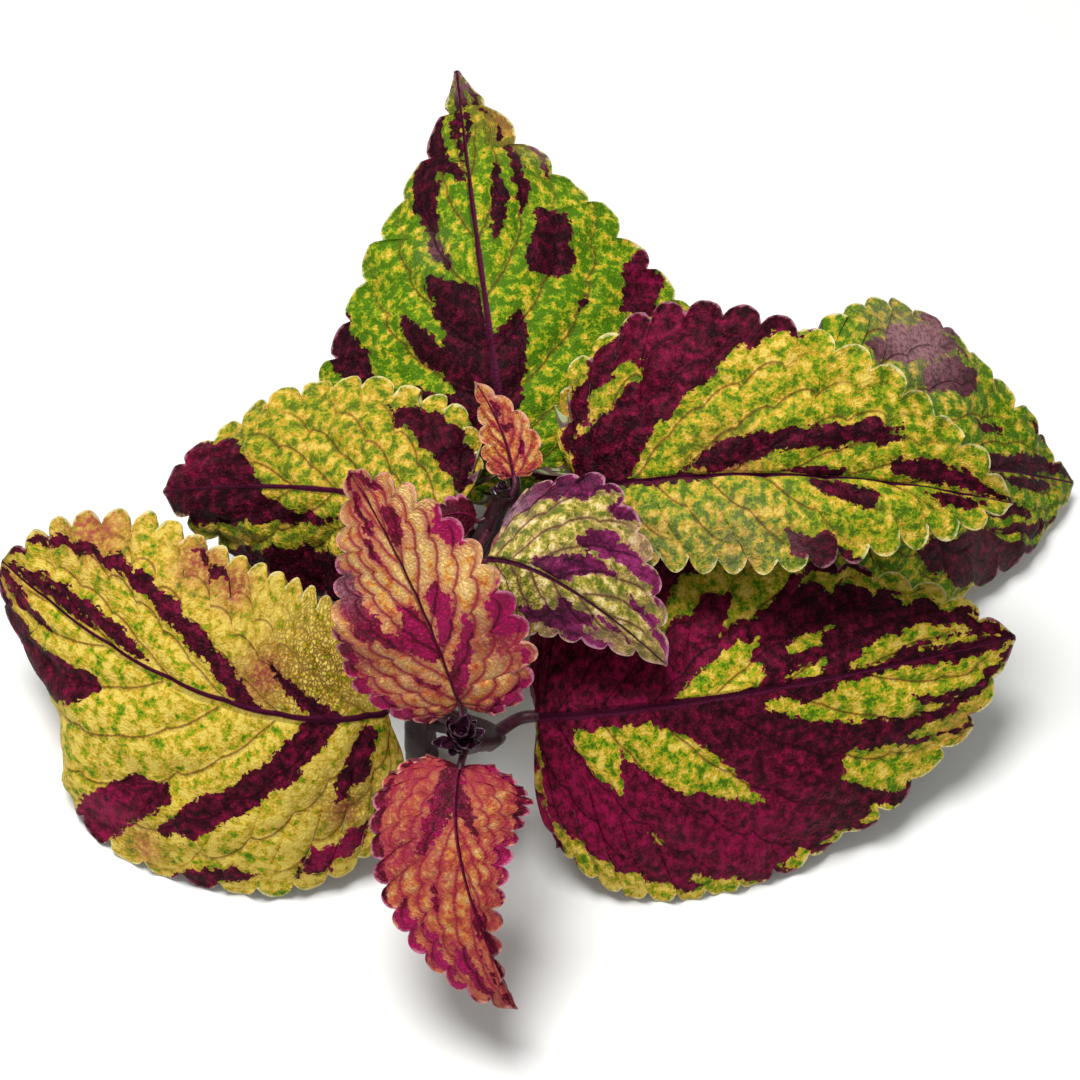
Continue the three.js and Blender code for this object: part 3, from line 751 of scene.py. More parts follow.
def add(tree: Tree, kind: str, *inputs: object, **settings: object) -> bpy.types.bpy_prop_collection:
    """Adds a node with its settings and links.

    Args:
        tree: The tree that gets the node.
        kind: The node's type name.
        inputs: Its first inputs in order, or one dictionary of inputs by index or identifier. Each
            is a value, the socket that feeds it, or a list of such sockets.
        settings: The node's properties.

    Returns:
        The node's outputs.
    """
    node = tree.nodes.new(kind)
    for key, value in settings.items():
        setattr(node, key, value)
    given = inputs[0] if inputs and isinstance(inputs[0], dict) else dict(enumerate(inputs))
    by_identifier = {socket.identifier: socket for socket in node.inputs}
    for key, value in given.items():
        socket = node.inputs[key] if isinstance(key, int) else by_identifier[key]
        for source in value if isinstance(value, list) else [value]:
            if isinstance(source, Socket):
                tree.links.new(source, socket)
            else:
                socket.default_value = source
    return node.outputs


def new_material(name: str) -> Material:
    """A material with an empty tree."""
    material = bpy.data.materials.new(name)
    material.use_nodes = True
    material.node_tree.nodes.clear()
    return material


def painted(tree: Tree, colour: object, *coats: tuple[Socket, object]) -> Socket:
    """Paints coats over a colour.

    Args:
        tree: The material's tree.
        colour: The colour beneath, a socket or a linear colour.
        coats: How much each coat covers, and its colour.

    Returns:
        The colour that shows.
    """
    for share, over in coats:
        mix = {"Factor_Float": share, "A_Color": colour, "B_Color": over}
        colour = add(tree, "ShaderNodeMix", mix, data_type="RGBA")[2]
    return colour


def end_in_skin(
    tree: Tree, colour: Socket, height: Socket, bump: tuple[float, float], **gloss: float,
) -> None:
    """Ends a material in a skin with relief.

    Args:
        tree: The material's tree.
        colour: The skin's colour.
        height: Its relief.
        bump: The relief's strength, and how many millimetres a height of 1 is.
        gloss: Further inputs of the shader, by name with _ for a space.
    """
    relief = {"Strength": bump[0], "Distance": bump[1] * MM, "Height": height}
    named = {name.replace("_", " "): value for name, value in gloss.items()}
    normal = add(tree, "ShaderNodeBump", relief)["Normal"]
    skin = add(tree, "ShaderNodeBsdfPrincipled", {"Base Color": colour, "Normal": normal, **named})
    add(tree, "ShaderNodeOutputMaterial", {"Surface": skin["BSDF"]})


# --- finishes -----------------------------------------------------------------------------------


@dataclass(frozen=True)
class LeafColours:
    """Pigments of a blade's upper face, with painted shade in its sunken veins, and how its cells and cross
    veins lie, in millimetres.
    """

    name: str
    light: tuple[str, str, str, str]
    dark: tuple[str, str, str]
    blush: str
    grey: str
    fringe: str  # the light ground beside a dark patch
    fringe_reach: float
    fringe_amount: float
    rim_light: str
    rim_dark: str
    # Vein colours and strengths: the veins' own colour, darkened further as painted shade where they lie
    # sunken.
    vein_and_groove_shade_on_light: str
    vein_and_groove_shade_on_dark: str
    midrib: str
    vein_amount: float
    vein_width: float
    vein_fade: tuple[float, float]  # from the margin: where side veins start, and where they are full
    flank_amount: float  # how much blush lies along both sides of a side vein
    rung_pitch: float
    rung_amount: float
    rung_depth: float
    cell: float
    roughness: float
    specular: float


# A mature coleus blade: soft leaf cells under a matt, finely downy skin. Chlorophyll lies in
# blotches over yellow, and red sap colours patches that stop at the veinlets.
# Its vein colours, like those of the leaves below, hold painted shade in the sunken veins besides the veins'
# own colour.
MOSAIC_LEAF = LeafColours(
    name="coleus_mosaic_leaf",
    light=("#48700a", "#87a218", "#c8a024", "#e2ca5a"), dark=("#20030b", "#5c0a26", "#960e46"),
    blush="#a5543f", grey="#9a7074", fringe="#7d5a1e", fringe_reach=1.6, fringe_amount=0.28,
    rim_light="#e4d79a", rim_dark="#a5707c", vein_and_groove_shade_on_light="#5c2a16", vein_and_groove_shade_on_dark="#240410",
    midrib="#4b0c2c", vein_amount=0.68, vein_width=0.46, vein_fade=(2.0, 14.0), flank_amount=0.08,
    rung_pitch=3.4, rung_amount=0.3, rung_depth=0.1, cell=1.25, roughness=0.55, specular=0.1,
)

# A leaf just past the bud: its green coming in under a purple-pink margin.
TURNING_LEAF = LeafColours(
    name="coleus_turning_leaf",
    light=("#5e6c1e", "#94902e", "#c8ae50", "#ecdca0"), dark=("#300a20", "#62143e", "#942c66"),
    blush="#b4707a", grey="#a8848f", fringe="#b07f60", fringe_reach=2.0, fringe_amount=0.5,
    rim_light="#dfb3a6", rim_dark="#c98ca0", vein_and_groove_shade_on_light="#5e3a24", vein_and_groove_shade_on_dark="#3c0a24",
    midrib="#4b1230", vein_amount=0.85, vein_width=0.5, vein_fade=(0.6, 6.0), flank_amount=0.2,
    rung_pitch=2.6, rung_amount=0.35, rung_depth=0.1, cell=1.3, roughness=0.5, specular=0.16,
)

# A leaf of the bud: little green, so orange and salmon show, swollen between close cross veins.
YOUNG_LEAF = LeafColours(
    name="coleus_young_leaf",
    light=("#a84222", "#d67e32", "#e9b042", "#f2d280"), dark=("#3a0614", "#7a0a30", "#ae1258"),
    blush="#9c3442", grey="#b58a92", fringe="#bf5a50", fringe_reach=3.2, fringe_amount=0.85,
    rim_light="#e8a890", rim_dark="#cf7c98", vein_and_groove_shade_on_light="#961c38", vein_and_groove_shade_on_dark="#4a0618",
    midrib="#6a0e34", vein_amount=0.88, vein_width=0.66, vein_fade=(0.2, 3.5), flank_amount=0.42,
    rung_pitch=2.5, rung_amount=0.45, rung_depth=0.12, cell=1.2, roughness=0.48, specular=0.18,
)


@dataclass(frozen=True)
class Mottle:
    """How the tone of a ground is mixed from clouds, little fields, the fields' net and a tint."""

    clouds: float
    fields: float
    net: float
    tint: Tint
    tinted: float
    lowest: float
    highest: float
    places: tuple[float, ...]  # where the ground's colours lie from the lowest tone to the highest


LIGHT_MOTTLE = Mottle(
    clouds=1.5, fields=0.2, net=0.14, tint=Tint.GOLD, tinted=0.5,
    lowest=0.76, highest=1.6, places=(0.08, 0.36, 0.62, 0.92),
)
DARK_MOTTLE = Mottle(
    clouds=1.15, fields=0.22, net=-0.12, tint=Tint.GLOW, tinted=0.7,
    lowest=0.48, highest=1.5, places=(0.0, 0.4, 0.9),
)

# The attributes that every blade carries.
CARRIED = ("patch_mm", "rim_mm", "vein_mm", "rib", *(tint.value for tint in Tint))

# How fine the unevenness of each trait of a blade is: clouds a millimetre, and finer octaves.
CLOUDS = {
    "light": (0.36, 3.0), "dark": (0.4, 3.0), "patch": (0.45, 3.0), "wash": (0.7, 2.0), "vein": (0.8, 2.0),
    "rung": (0.6, 1.0), "broken": (0.6, 2.0), "rim": (0.4, 2.0), "down": (2.4, 2.0),
}


@dataclass
class UpperFace:
    """The upper face of a blade, painted from the attributes that the blade carries."""

    colours: LeafColours
    tree: Tree = field(init=False)
    carried: dict[str, Socket] = field(init=False)
    clouds: dict[str, Socket] = field(init=False)
    cells: Socket = field(init=False)  # a random number for each little field between the finest veins
    net: Socket = field(init=False)  # distance to a field's edge over its size

    def material(self) -> Material:
        """Builds the material.

        Returns:
            A material that reads the blade's two UV maps and its float attributes.
        """
        c = self.colours
        material = new_material(c.name)
        self.tree = tree = material.node_tree
        flat = add(tree, "ShaderNodeUVMap", uv_map="flat")["UV"]
        self.carried = {
            name: add(tree, "ShaderNodeAttribute", attribute_name=name)["Fac"] for name in CARRIED
        }
        self.clouds = {
            name: add(tree, NOISE, {"Vector": flat, "Scale": per_mm, "Detail": detail, "Roughness": 0.6},
                      noise_dimensions="2D")["Fac"]
            for name, (per_mm, detail) in CLOUDS.items()
        }
        self.cells, self.net = self.little_fields(flat)
        reach = self.patch_reach()
        in_patch = add(tree, RANGE, reach, -0.16, 0.16, **SMOOTH)["Result"]
        side, rung = self.vein_distances()
        flank = add(tree, RANGE, side, 1.7, 0.2, 0.0, c.flank_amount, **SMOOTH)["Result"]
        rib = add(tree, RANGE, self.carried["rib"], 1.25, 0.75, **SMOOTH)["Result"]
        light = painted(tree, self.light_ground(reach), (flank, linear(c.blush)))
        body = painted(tree, light, (in_patch, self.dark_ground()))
        # Side veins and cross veins: partly their own colour, partly painted shade in their sunken grooves.
        vein = painted(tree, linear(c.vein_and_groove_shade_on_light), (in_patch, linear(c.vein_and_groove_shade_on_dark)))
        veined_and_groove_shaded = painted(tree, body, (self.lines(side, rung), vein), (rib, linear(c.midrib)))
        end_in_skin(tree, self.rimmed(veined_and_groove_shaded, in_patch), self.relief(side, rung), (1.0, 1.0),
                    Roughness=c.roughness, IOR=1.42, Specular_IOR_Level=c.specular)
        return material

    def little_fields(self, flat: Socket) -> tuple[Socket, Socket]:
        """The little fields between the finest veins.

        Args:
            flat: The blade's flat coordinates in millimetres.

        Returns:
            A random number for each field, and the distance to the field's edge over its size.
        """
        tree = self.tree
        warp = add(tree, NOISE, {"Vector": flat, "Scale": 0.9, "Detail": 1.0}, noise_dimensions="2D")["Color"]
        bent = add(tree, VECTOR, warp, (1.3, 1.3, 0.0), flat, operation="MULTIPLY_ADD")["Vector"]
        inside, edge = (
            add(tree, "ShaderNodeTexVoronoi",
                {"Vector": bent, "Scale": 1 / self.colours.cell, "Randomness": 0.95},
                voronoi_dimensions="2D", feature=feature)
            for feature in ("F1", "DISTANCE_TO_EDGE")
        )
        return add(tree, "ShaderNodeSeparateColor", inside["Color"])["Red"], edge["Distance"]

    def patch_reach(self) -> Socket:
        """How deep in a dark patch the blade is, with the patch's edge made jagged field by field.

        Returns:
            Millimetres into the patch, below 0 outside.
        """
        tree, patch = self.tree, self.carried["patch_mm"]
        jag = add(tree, MATH, self.clouds["patch"], 2.6, patch, operation="MULTIPLY_ADD")["Value"]
        celled = add(tree, MATH, self.cells, jag, operation="ADD")["Value"]
        return add(tree, MATH, celled, 1.8, operation="SUBTRACT")["Value"]

    def mottled(self, mottle: Mottle, cloud: str, colours: tuple[str, ...]) -> Socket:
        """A ground's colours run into each other in blotches.

        Args:
            mottle: How the tone is mixed.
            cloud: Which unevenness.
            colours: The colours from the lowest tone to the highest.

        Returns:
            The colour.
        """
        tree, tint = self.tree, self.carried[mottle.tint.value]
        tone = add(tree, MATH, self.clouds[cloud], mottle.clouds, operation="MULTIPLY")["Value"]
        for part, share in ((self.cells, mottle.fields), (tint, mottle.tinted)):
            tone = add(tree, MATH, part, share, tone, operation="MULTIPLY_ADD")["Value"]
        netted = add(tree, RANGE, self.net, 0.2, 0.0, 0.0, mottle.net, **SMOOTH)["Result"]
        tone = add(tree, MATH, tone, netted, operation="ADD")["Value"]
        level = add(tree, RANGE, tone, mottle.lowest, mottle.highest, **SMOOTH)["Result"]
        ramp = add(tree, "ShaderNodeValToRGB", level)["Color"]
        stops = ramp.node.color_ramp.elements
        for place in mottle.places[1:-1]:
            stops.new(place)
        for stop, place, colour in zip(stops, mottle.places, colours):
            stop.position = place
            stop.color = linear(colour)
        return ramp

    def washed(self, colour: Socket, tint: Tint, over: str, strength: float = 1.0) -> Socket:
        """Lays an uneven wash of one colour over another.

        Args:
            colour: The colour beneath.
            tint: Which wash.
            over: The wash's colour, as sRGB hex.
            strength: How strongly it covers.

        Returns:
            The colour.
        """
        tree, wash = self.tree, self.clouds["wash"]
        uneven = add(tree, RANGE, wash, 0.3, 0.62, 0.4 * strength, 1.1 * strength)["Result"]
        amount = add(tree, MATH, self.carried[tint.value], uneven, operation="MULTIPLY")["Value"]
        return painted(tree, colour, (amount, linear(over)))

    def light_ground(self, reach: Socket) -> Socket:
        """Green fields on a yellow net, or orange ones on cream, browner beside a dark patch.

        Args:
            reach: Millimetres into a dark patch.

        Returns:
            The colour.
        """
        c = self.colours
        near = add(self.tree, RANGE, reach, -c.fringe_reach, 1.2, 0.0, c.fringe_amount, **SMOOTH)["Result"]
        fringed = painted(self.tree, self.mottled(LIGHT_MOTTLE, "light", c.light), (near, linear(c.fringe)))
        return self.washed(self.washed(fringed, Tint.BLUSH, c.blush), Tint.GREY, c.grey, 0.5)

    def dark_ground(self) -> Socket:
        """Near-black maroon, brighter to magenta where the blade glows."""
        return self.washed(self.mottled(DARK_MOTTLE, "dark", self.colours.dark), Tint.GREY, self.colours.grey)

    def vein_distances(self) -> tuple[Socket, Socket]:
        """How far the side veins and the cross veins are.

        Returns:
            Millimetres to the nearest side vein and to the nearest cross vein.
        """
        tree, pitch = self.tree, self.colours.rung_pitch
        veins = add(tree, "ShaderNodeSeparateXYZ", add(tree, "ShaderNodeUVMap", uv_map="veins")["UV"])
        off = add(tree, MATH, veins["X"], 0.5, operation="PINGPONG")["Value"]
        side = add(tree, MATH, off, self.carried["vein_mm"], operation="MULTIPLY")["Value"]
        wavy = add(tree, MATH, self.clouds["vein"], 0.4, side, operation="MULTIPLY_ADD")["Value"]
        number = add(tree, MATH, veins["X"], operation="FLOOR")["Value"]
        lane = add(tree, "ShaderNodeTexWhiteNoise", {"W": number}, noise_dimensions="1D")["Value"]
        steps = add(tree, MATH, veins["Y"], 1 / pitch, lane, operation="MULTIPLY_ADD")["Value"]
        bent = add(tree, MATH, self.clouds["rung"], 1.9, steps, operation="MULTIPLY_ADD")["Value"]
        between = add(tree, MATH, bent, 0.5, operation="PINGPONG")["Value"]
        rung = add(tree, MATH, between, pitch, operation="MULTIPLY")["Value"]
        return add(tree, MATH, wavy, 0.2, operation="SUBTRACT")["Value"], rung

    def lines(self, side: Socket, rung: Socket) -> Socket:
        """How strongly the veins show: partly their own colour, partly painted shade in their sunken grooves.

        Args:
            side: Millimetres to the nearest side vein.
            rung: Millimetres to the nearest cross vein.

        Returns:
            0 between the veins, and up to 1 on them.
        """
        c, tree = self.colours, self.tree
        drawn = []
        for place, shown, over, fade in (
            (side, (c.vein_width, 0.1, 0.0, c.vein_amount), self.carried["rim_mm"], c.vein_fade),
            (rung, (0.3, 0.05), self.clouds["broken"], (0.36, 0.6, 0.0, c.rung_amount)),
        ):
            line = add(tree, RANGE, place, *shown, **SMOOTH)["Result"]
            faded = add(tree, RANGE, over, *fade, **SMOOTH)["Result"]
            drawn.append(add(tree, MATH, line, faded, operation="MULTIPLY")["Value"])
        strongest = add(tree, MATH, *drawn, operation="MAXIMUM")["Value"]
        net = add(tree, RANGE, self.net, 0.3, 0.1, 0.0, 0.9, **SMOOTH)["Result"]
        netted = add(tree, MATH, self.carried["rust"], net, operation="MULTIPLY")["Value"]
        return add(tree, MATH, strongest, netted, operation="MAXIMUM")["Value"]

    def rimmed(self, body: Socket, in_patch: Socket) -> Socket:
        """Pales the thin margin.

        Args:
            body: The colour inside the margin.
            in_patch: 1 where the blade is dark.

        Returns:
            The colour.
        """
        tree, rim = self.tree, self.carried["rim_mm"]
        near = add(tree, MATH, self.clouds["rim"], -2.4, rim, operation="MULTIPLY_ADD")["Value"]
        amount = add(tree, RANGE, near, -0.35, -1.25, 0.0, 0.8, **SMOOTH)["Result"]
        pale = painted(tree, linear(self.colours.rim_light), (in_patch, linear(self.colours.rim_dark)))
        return painted(tree, body, (amount, pale))

    def relief(self, side: Socket, rung: Socket) -> Socket:
        """The skin's fine relief: down, swollen fields and sunken veins.

        Args:
            side: Millimetres to the nearest side vein.
            rung: Millimetres to the nearest cross vein.

        Returns:
            Heights in millimetres.
        """
        c, tree = self.colours, self.tree
        height = add(tree, MATH, self.clouds["down"], 0.1, operation="MULTIPLY")["Value"]
        for place, full, rise in (
            (self.net, 0.45, 0.07 * c.cell), (rung, 0.45 * c.rung_pitch, c.rung_depth), (side, 0.9, 0.2),
        ):
            swell = add(tree, RANGE, place, 0.0, full, 0.0, rise, **SMOOTH)["Result"]
            height = add(tree, MATH, height, swell, operation="ADD")["Value"]
        return height


@dataclass(frozen=True)
class Underside:
    """The underside of a blade: paler and duller, with raised wine-red veins."""

    name: str
    ground: str
    blotch: str
    vein: str

    def material(self) -> Material:
        """Builds the material.

        Returns:
            A material that reads the blade's vein map and attributes.
        """
        material = new_material(self.name)
        tree = material.node_tree
        flat, veins = (add(tree, "ShaderNodeUVMap", uv_map=name)["UV"] for name in ("flat", "veins"))
        patch, spacing = (add(tree, "ShaderNodeAttribute", attribute_name=name)["Fac"]
                          for name in ("patch_mm", "vein_mm"))
        grain = add(tree, NOISE, {"Vector": flat, "Scale": 0.5, "Detail": 3.0}, noise_dimensions="2D")["Fac"]
        reach = add(tree, MATH, grain, 3.0, patch, operation="MULTIPLY_ADD")["Value"]
        blotched = add(tree, RANGE, reach, 1.0, 2.4, 0.0, 0.85, **SMOOTH)["Result"]
        number = add(tree, "ShaderNodeSeparateXYZ", veins)["X"]
        off = add(tree, MATH, number, 0.5, operation="PINGPONG")["Value"]
        away = add(tree, MATH, off, spacing, operation="MULTIPLY")["Value"]
        line = add(tree, RANGE, away, 0.75, 0.3, 0.0, 0.8, **SMOOTH)["Result"]
        coats = ((blotched, linear(self.blotch)), (line, linear(self.vein)))
        colour = painted(tree, linear(self.ground), *coats)
        height = add(tree, MATH, line, 0.25, grain, operation="MULTIPLY_ADD")["Value"]
        end_in_skin(tree, colour, height, (0.8, 0.5), Roughness=0.62, IOR=1.42, Specular_IOR_Level=0.35)
        return material


# The underside of a coleus leaf: pale and dull where the upper face is green, with wine-red veins
# that stand out, and darker where it lies under a red patch.
MOSAIC_UNDERSIDE = Underside("coleus_leaf_underside", "#9aa777", "#6a3348", "#5a1c38")
YOUNG_UNDERSIDE = Underside("coleus_young_underside", "#c58f72", "#7c2440", "#6a1634")


@dataclass(frozen=True)
class Skin:
    """The skin of stems, stalks and scale leaves: fleshy and glossy, streaked along."""

    name: str
    dark: str
    bright: str
    roughness: float
    grain: float  # streak width in millimetres
    coat: float

    def material(self) -> Material:
        """Builds the material.

        Returns:
            A material on Object coordinates.
        """
        material = new_material(self.name)
        tree = material.node_tree
        place = add(tree, "ShaderNodeTexCoord")["Object"]
        drawn_out = add(tree, VECTOR, place, (1.0, 1.0, 0.35), operation="MULTIPLY")["Vector"]
        streaks = add(tree, NOISE, {
            "Vector": drawn_out, "Scale": 1 / (self.grain * MM), "Detail": 3.0, "Roughness": 0.6,
        })["Fac"]
        level = add(tree, RANGE, streaks, 0.36, 0.72)["Result"]
        colour = painted(tree, linear(self.dark), (level, linear(self.bright)))
        pores = add(tree, NOISE, {"Vector": place, "Scale": 1 / (0.5 * MM), "Detail": 2.0})["Fac"]
        end_in_skin(tree, colour, pores, (0.5, 0.3),
                    Roughness=self.roughness, IOR=1.45, Coat_Weight=self.coat, Coat_Roughness=0.25)
        return material


# The skin of a living coleus stem: smooth, moist and streaked near-black and wine red, so it shows
# long soft glints. A stalk's is redder, and a bud scale's is darker, with a waxy gloss.
STEM_SKIN = Skin("coleus_stem_skin", "#1a040d", "#4a0c22", 0.42, 1.6, 0.1)
STALK_SKIN = Skin("coleus_stalk_skin", "#2a0814", "#6a1c3c", 0.42, 1.2, 0.15)
SCALE_SKIN = Skin("coleus_tip_scale", "#14030c", "#4a1836", 0.28, 1.0, 0.5)
# Hairs are clear cell chains: pale lilac where they catch the light.
HAIR = Skin("coleus_hair", "#5c3c54", "#a88ca4", 0.45, 1.0, 0.0)


# --- meshes -------------------------------------------------------------------------------------


@dataclass
class Shell:
    """A closed mesh in the making: points in millimetres, faces, and the attributes it carries."""

    points: np.ndarray
    quads: np.ndarray  # where the last two corners are the same, the face is a triangle
    slots: np.ndarray
    floats: dict[str, np.ndarray] = field(default_factory=dict)
    maps: dict[str, np.ndarray] = field(default_factory=dict)
    sharp_angle: float = 65.0  # degrees from which an edge is shaded sharp

    def joined(self, other: Shell) -> Shell:
        """Puts two shells in one.

        Args:
            other: The shell to add. It gets zeros for the attributes it lacks.

        Returns:
            Both shells as one.
        """
        count = len(other.points)
        floats = {k: np.concatenate([v, other.floats.get(k, np.zeros(count))])
                  for k, v in self.floats.items()}
        maps = {k: np.concatenate([v, other.maps.get(k, np.zeros((count, 2)))])
                for k, v in self.maps.items()}
        quads = np.concatenate([self.quads, other.quads + len(self.points)])
        points = np.concatenate([self.points, other.points])
        return Shell(points, quads, np.concatenate([self.slots, other.slots]), floats, maps)

    def build(self, name: str, materials: list[Material]) -> Object:
        """Makes the Blender object.

        Args:
            name: The object's name.
            materials: One for each slot number.

        Returns:
            The object, at the origin, with its place in its mesh.
        """
        mesh = bpy.data.meshes.new(name)
        faces = [quad if quad[2] != quad[3] else quad[:3] for quad in self.quads.tolist()]
        mesh.from_pydata(metres(self.points).tolist(), [], faces)
        for material in materials:
            mesh.materials.append(material)
        mesh.polygons.foreach_set("material_index", self.slots.astype(np.int32))
        mesh.polygons.foreach_set("use_smooth", np.ones(len(self.slots), dtype=bool))
        corner = np.empty(len(mesh.loops), dtype=np.int32)
        mesh.loops.foreach_get("vertex_index", corner)
        for key, values in self.maps.items():
            mesh.uv_layers.new(name=key).data.foreach_set("uv", values[corner].astype(np.float32).ravel())
        for key, values in self.floats.items():
            mesh.attributes.new(key, "FLOAT", "POINT").data.foreach_set("value", values.astype(np.float32))
        mesh.set_sharp_from_angle(angle=math.radians(self.sharp_angle))
        return linked(name, mesh)


def tube(path: np.ndarray, radii: np.ndarray, sides: int, slot: int) -> Shell:
    """A closed round tube along a path.

    Args:
        path: Points of its axis.
        radii: Its radius at each.
        sides: Sides of its section.
        slot: The material slot of its faces.

    Returns:
        The tube, capped at both ends.
    """
    tangents = unit(np.gradient(path, axis=0))
    normal = unit(np.cross(tangents[0], np.eye(3)[np.argmin(np.abs(tangents[0]))]))
    angle = np.linspace(0, 2 * math.pi, sides, endpoint=False)[:, None]
    rings = []
    for point, tangent, radius in zip(path, tangents, radii):
        normal = unit(normal - normal @ tangent * tangent)
        other = np.cross(tangent, normal)
        rings.append(point + radius * (np.cos(angle) * normal + np.sin(angle) * other))
    here = np.arange(sides)
    after = (here + 1) % sides
    start = np.arange(len(path) - 1)[:, None] * sides
    wall = np.stack([start + here, start + after, start + after + sides, start + here + sides], axis=-1)
    last, foot, top = (len(path) - 1) * sides, len(path) * sides, len(path) * sides + 1
    caps = [np.stack([np.full(sides, foot), after, here, here], axis=-1),
            np.stack([np.full(sides, top), last + here, last + after, last + after], axis=-1)]
    quads = np.concatenate([wall.reshape(-1, 4), *caps])
    return Shell(np.vstack([*rings, path[:1], path[-1:]]), quads, np.full(len(quads), slot))


def sheet_faces(rows: int, columns: int, turned: bool = False) -> tuple[np.ndarray, np.ndarray, np.ndarray]:
    """Faces of a closed thin sheet, made of two grids of points, one stored after the other.

    Args:
        rows: Rows of points in a grid.
        columns: Points in a row.
        turned: Whether the first grid faces the other way.

    Returns:
        Quads of the first grid, of the second and of the rim between them.
    """
    order = [0, 3, 2, 1] if turned else [0, 1, 2, 3]
    corner = (np.arange(rows - 1)[:, None] * columns + np.arange(columns - 1)).ravel()
    first = np.stack([corner, corner + columns, corner + columns + 1, corner + 1], axis=-1)[:, order]
    ring = np.concatenate([
        np.arange(columns - 1), np.arange(rows - 1) * columns + columns - 1,
        (rows - 1) * columns + np.arange(columns - 1, 0, -1), np.arange(rows - 1, 0, -1) * columns,
    ])
    after, count = np.roll(ring, -1), rows * columns
    rim = np.stack([ring, after, after + count, ring + count], axis=-1)[:, order]
    return first, first[:, ::-1] + count, rim


# --- leaves -------------------------------------------------------------------------------------


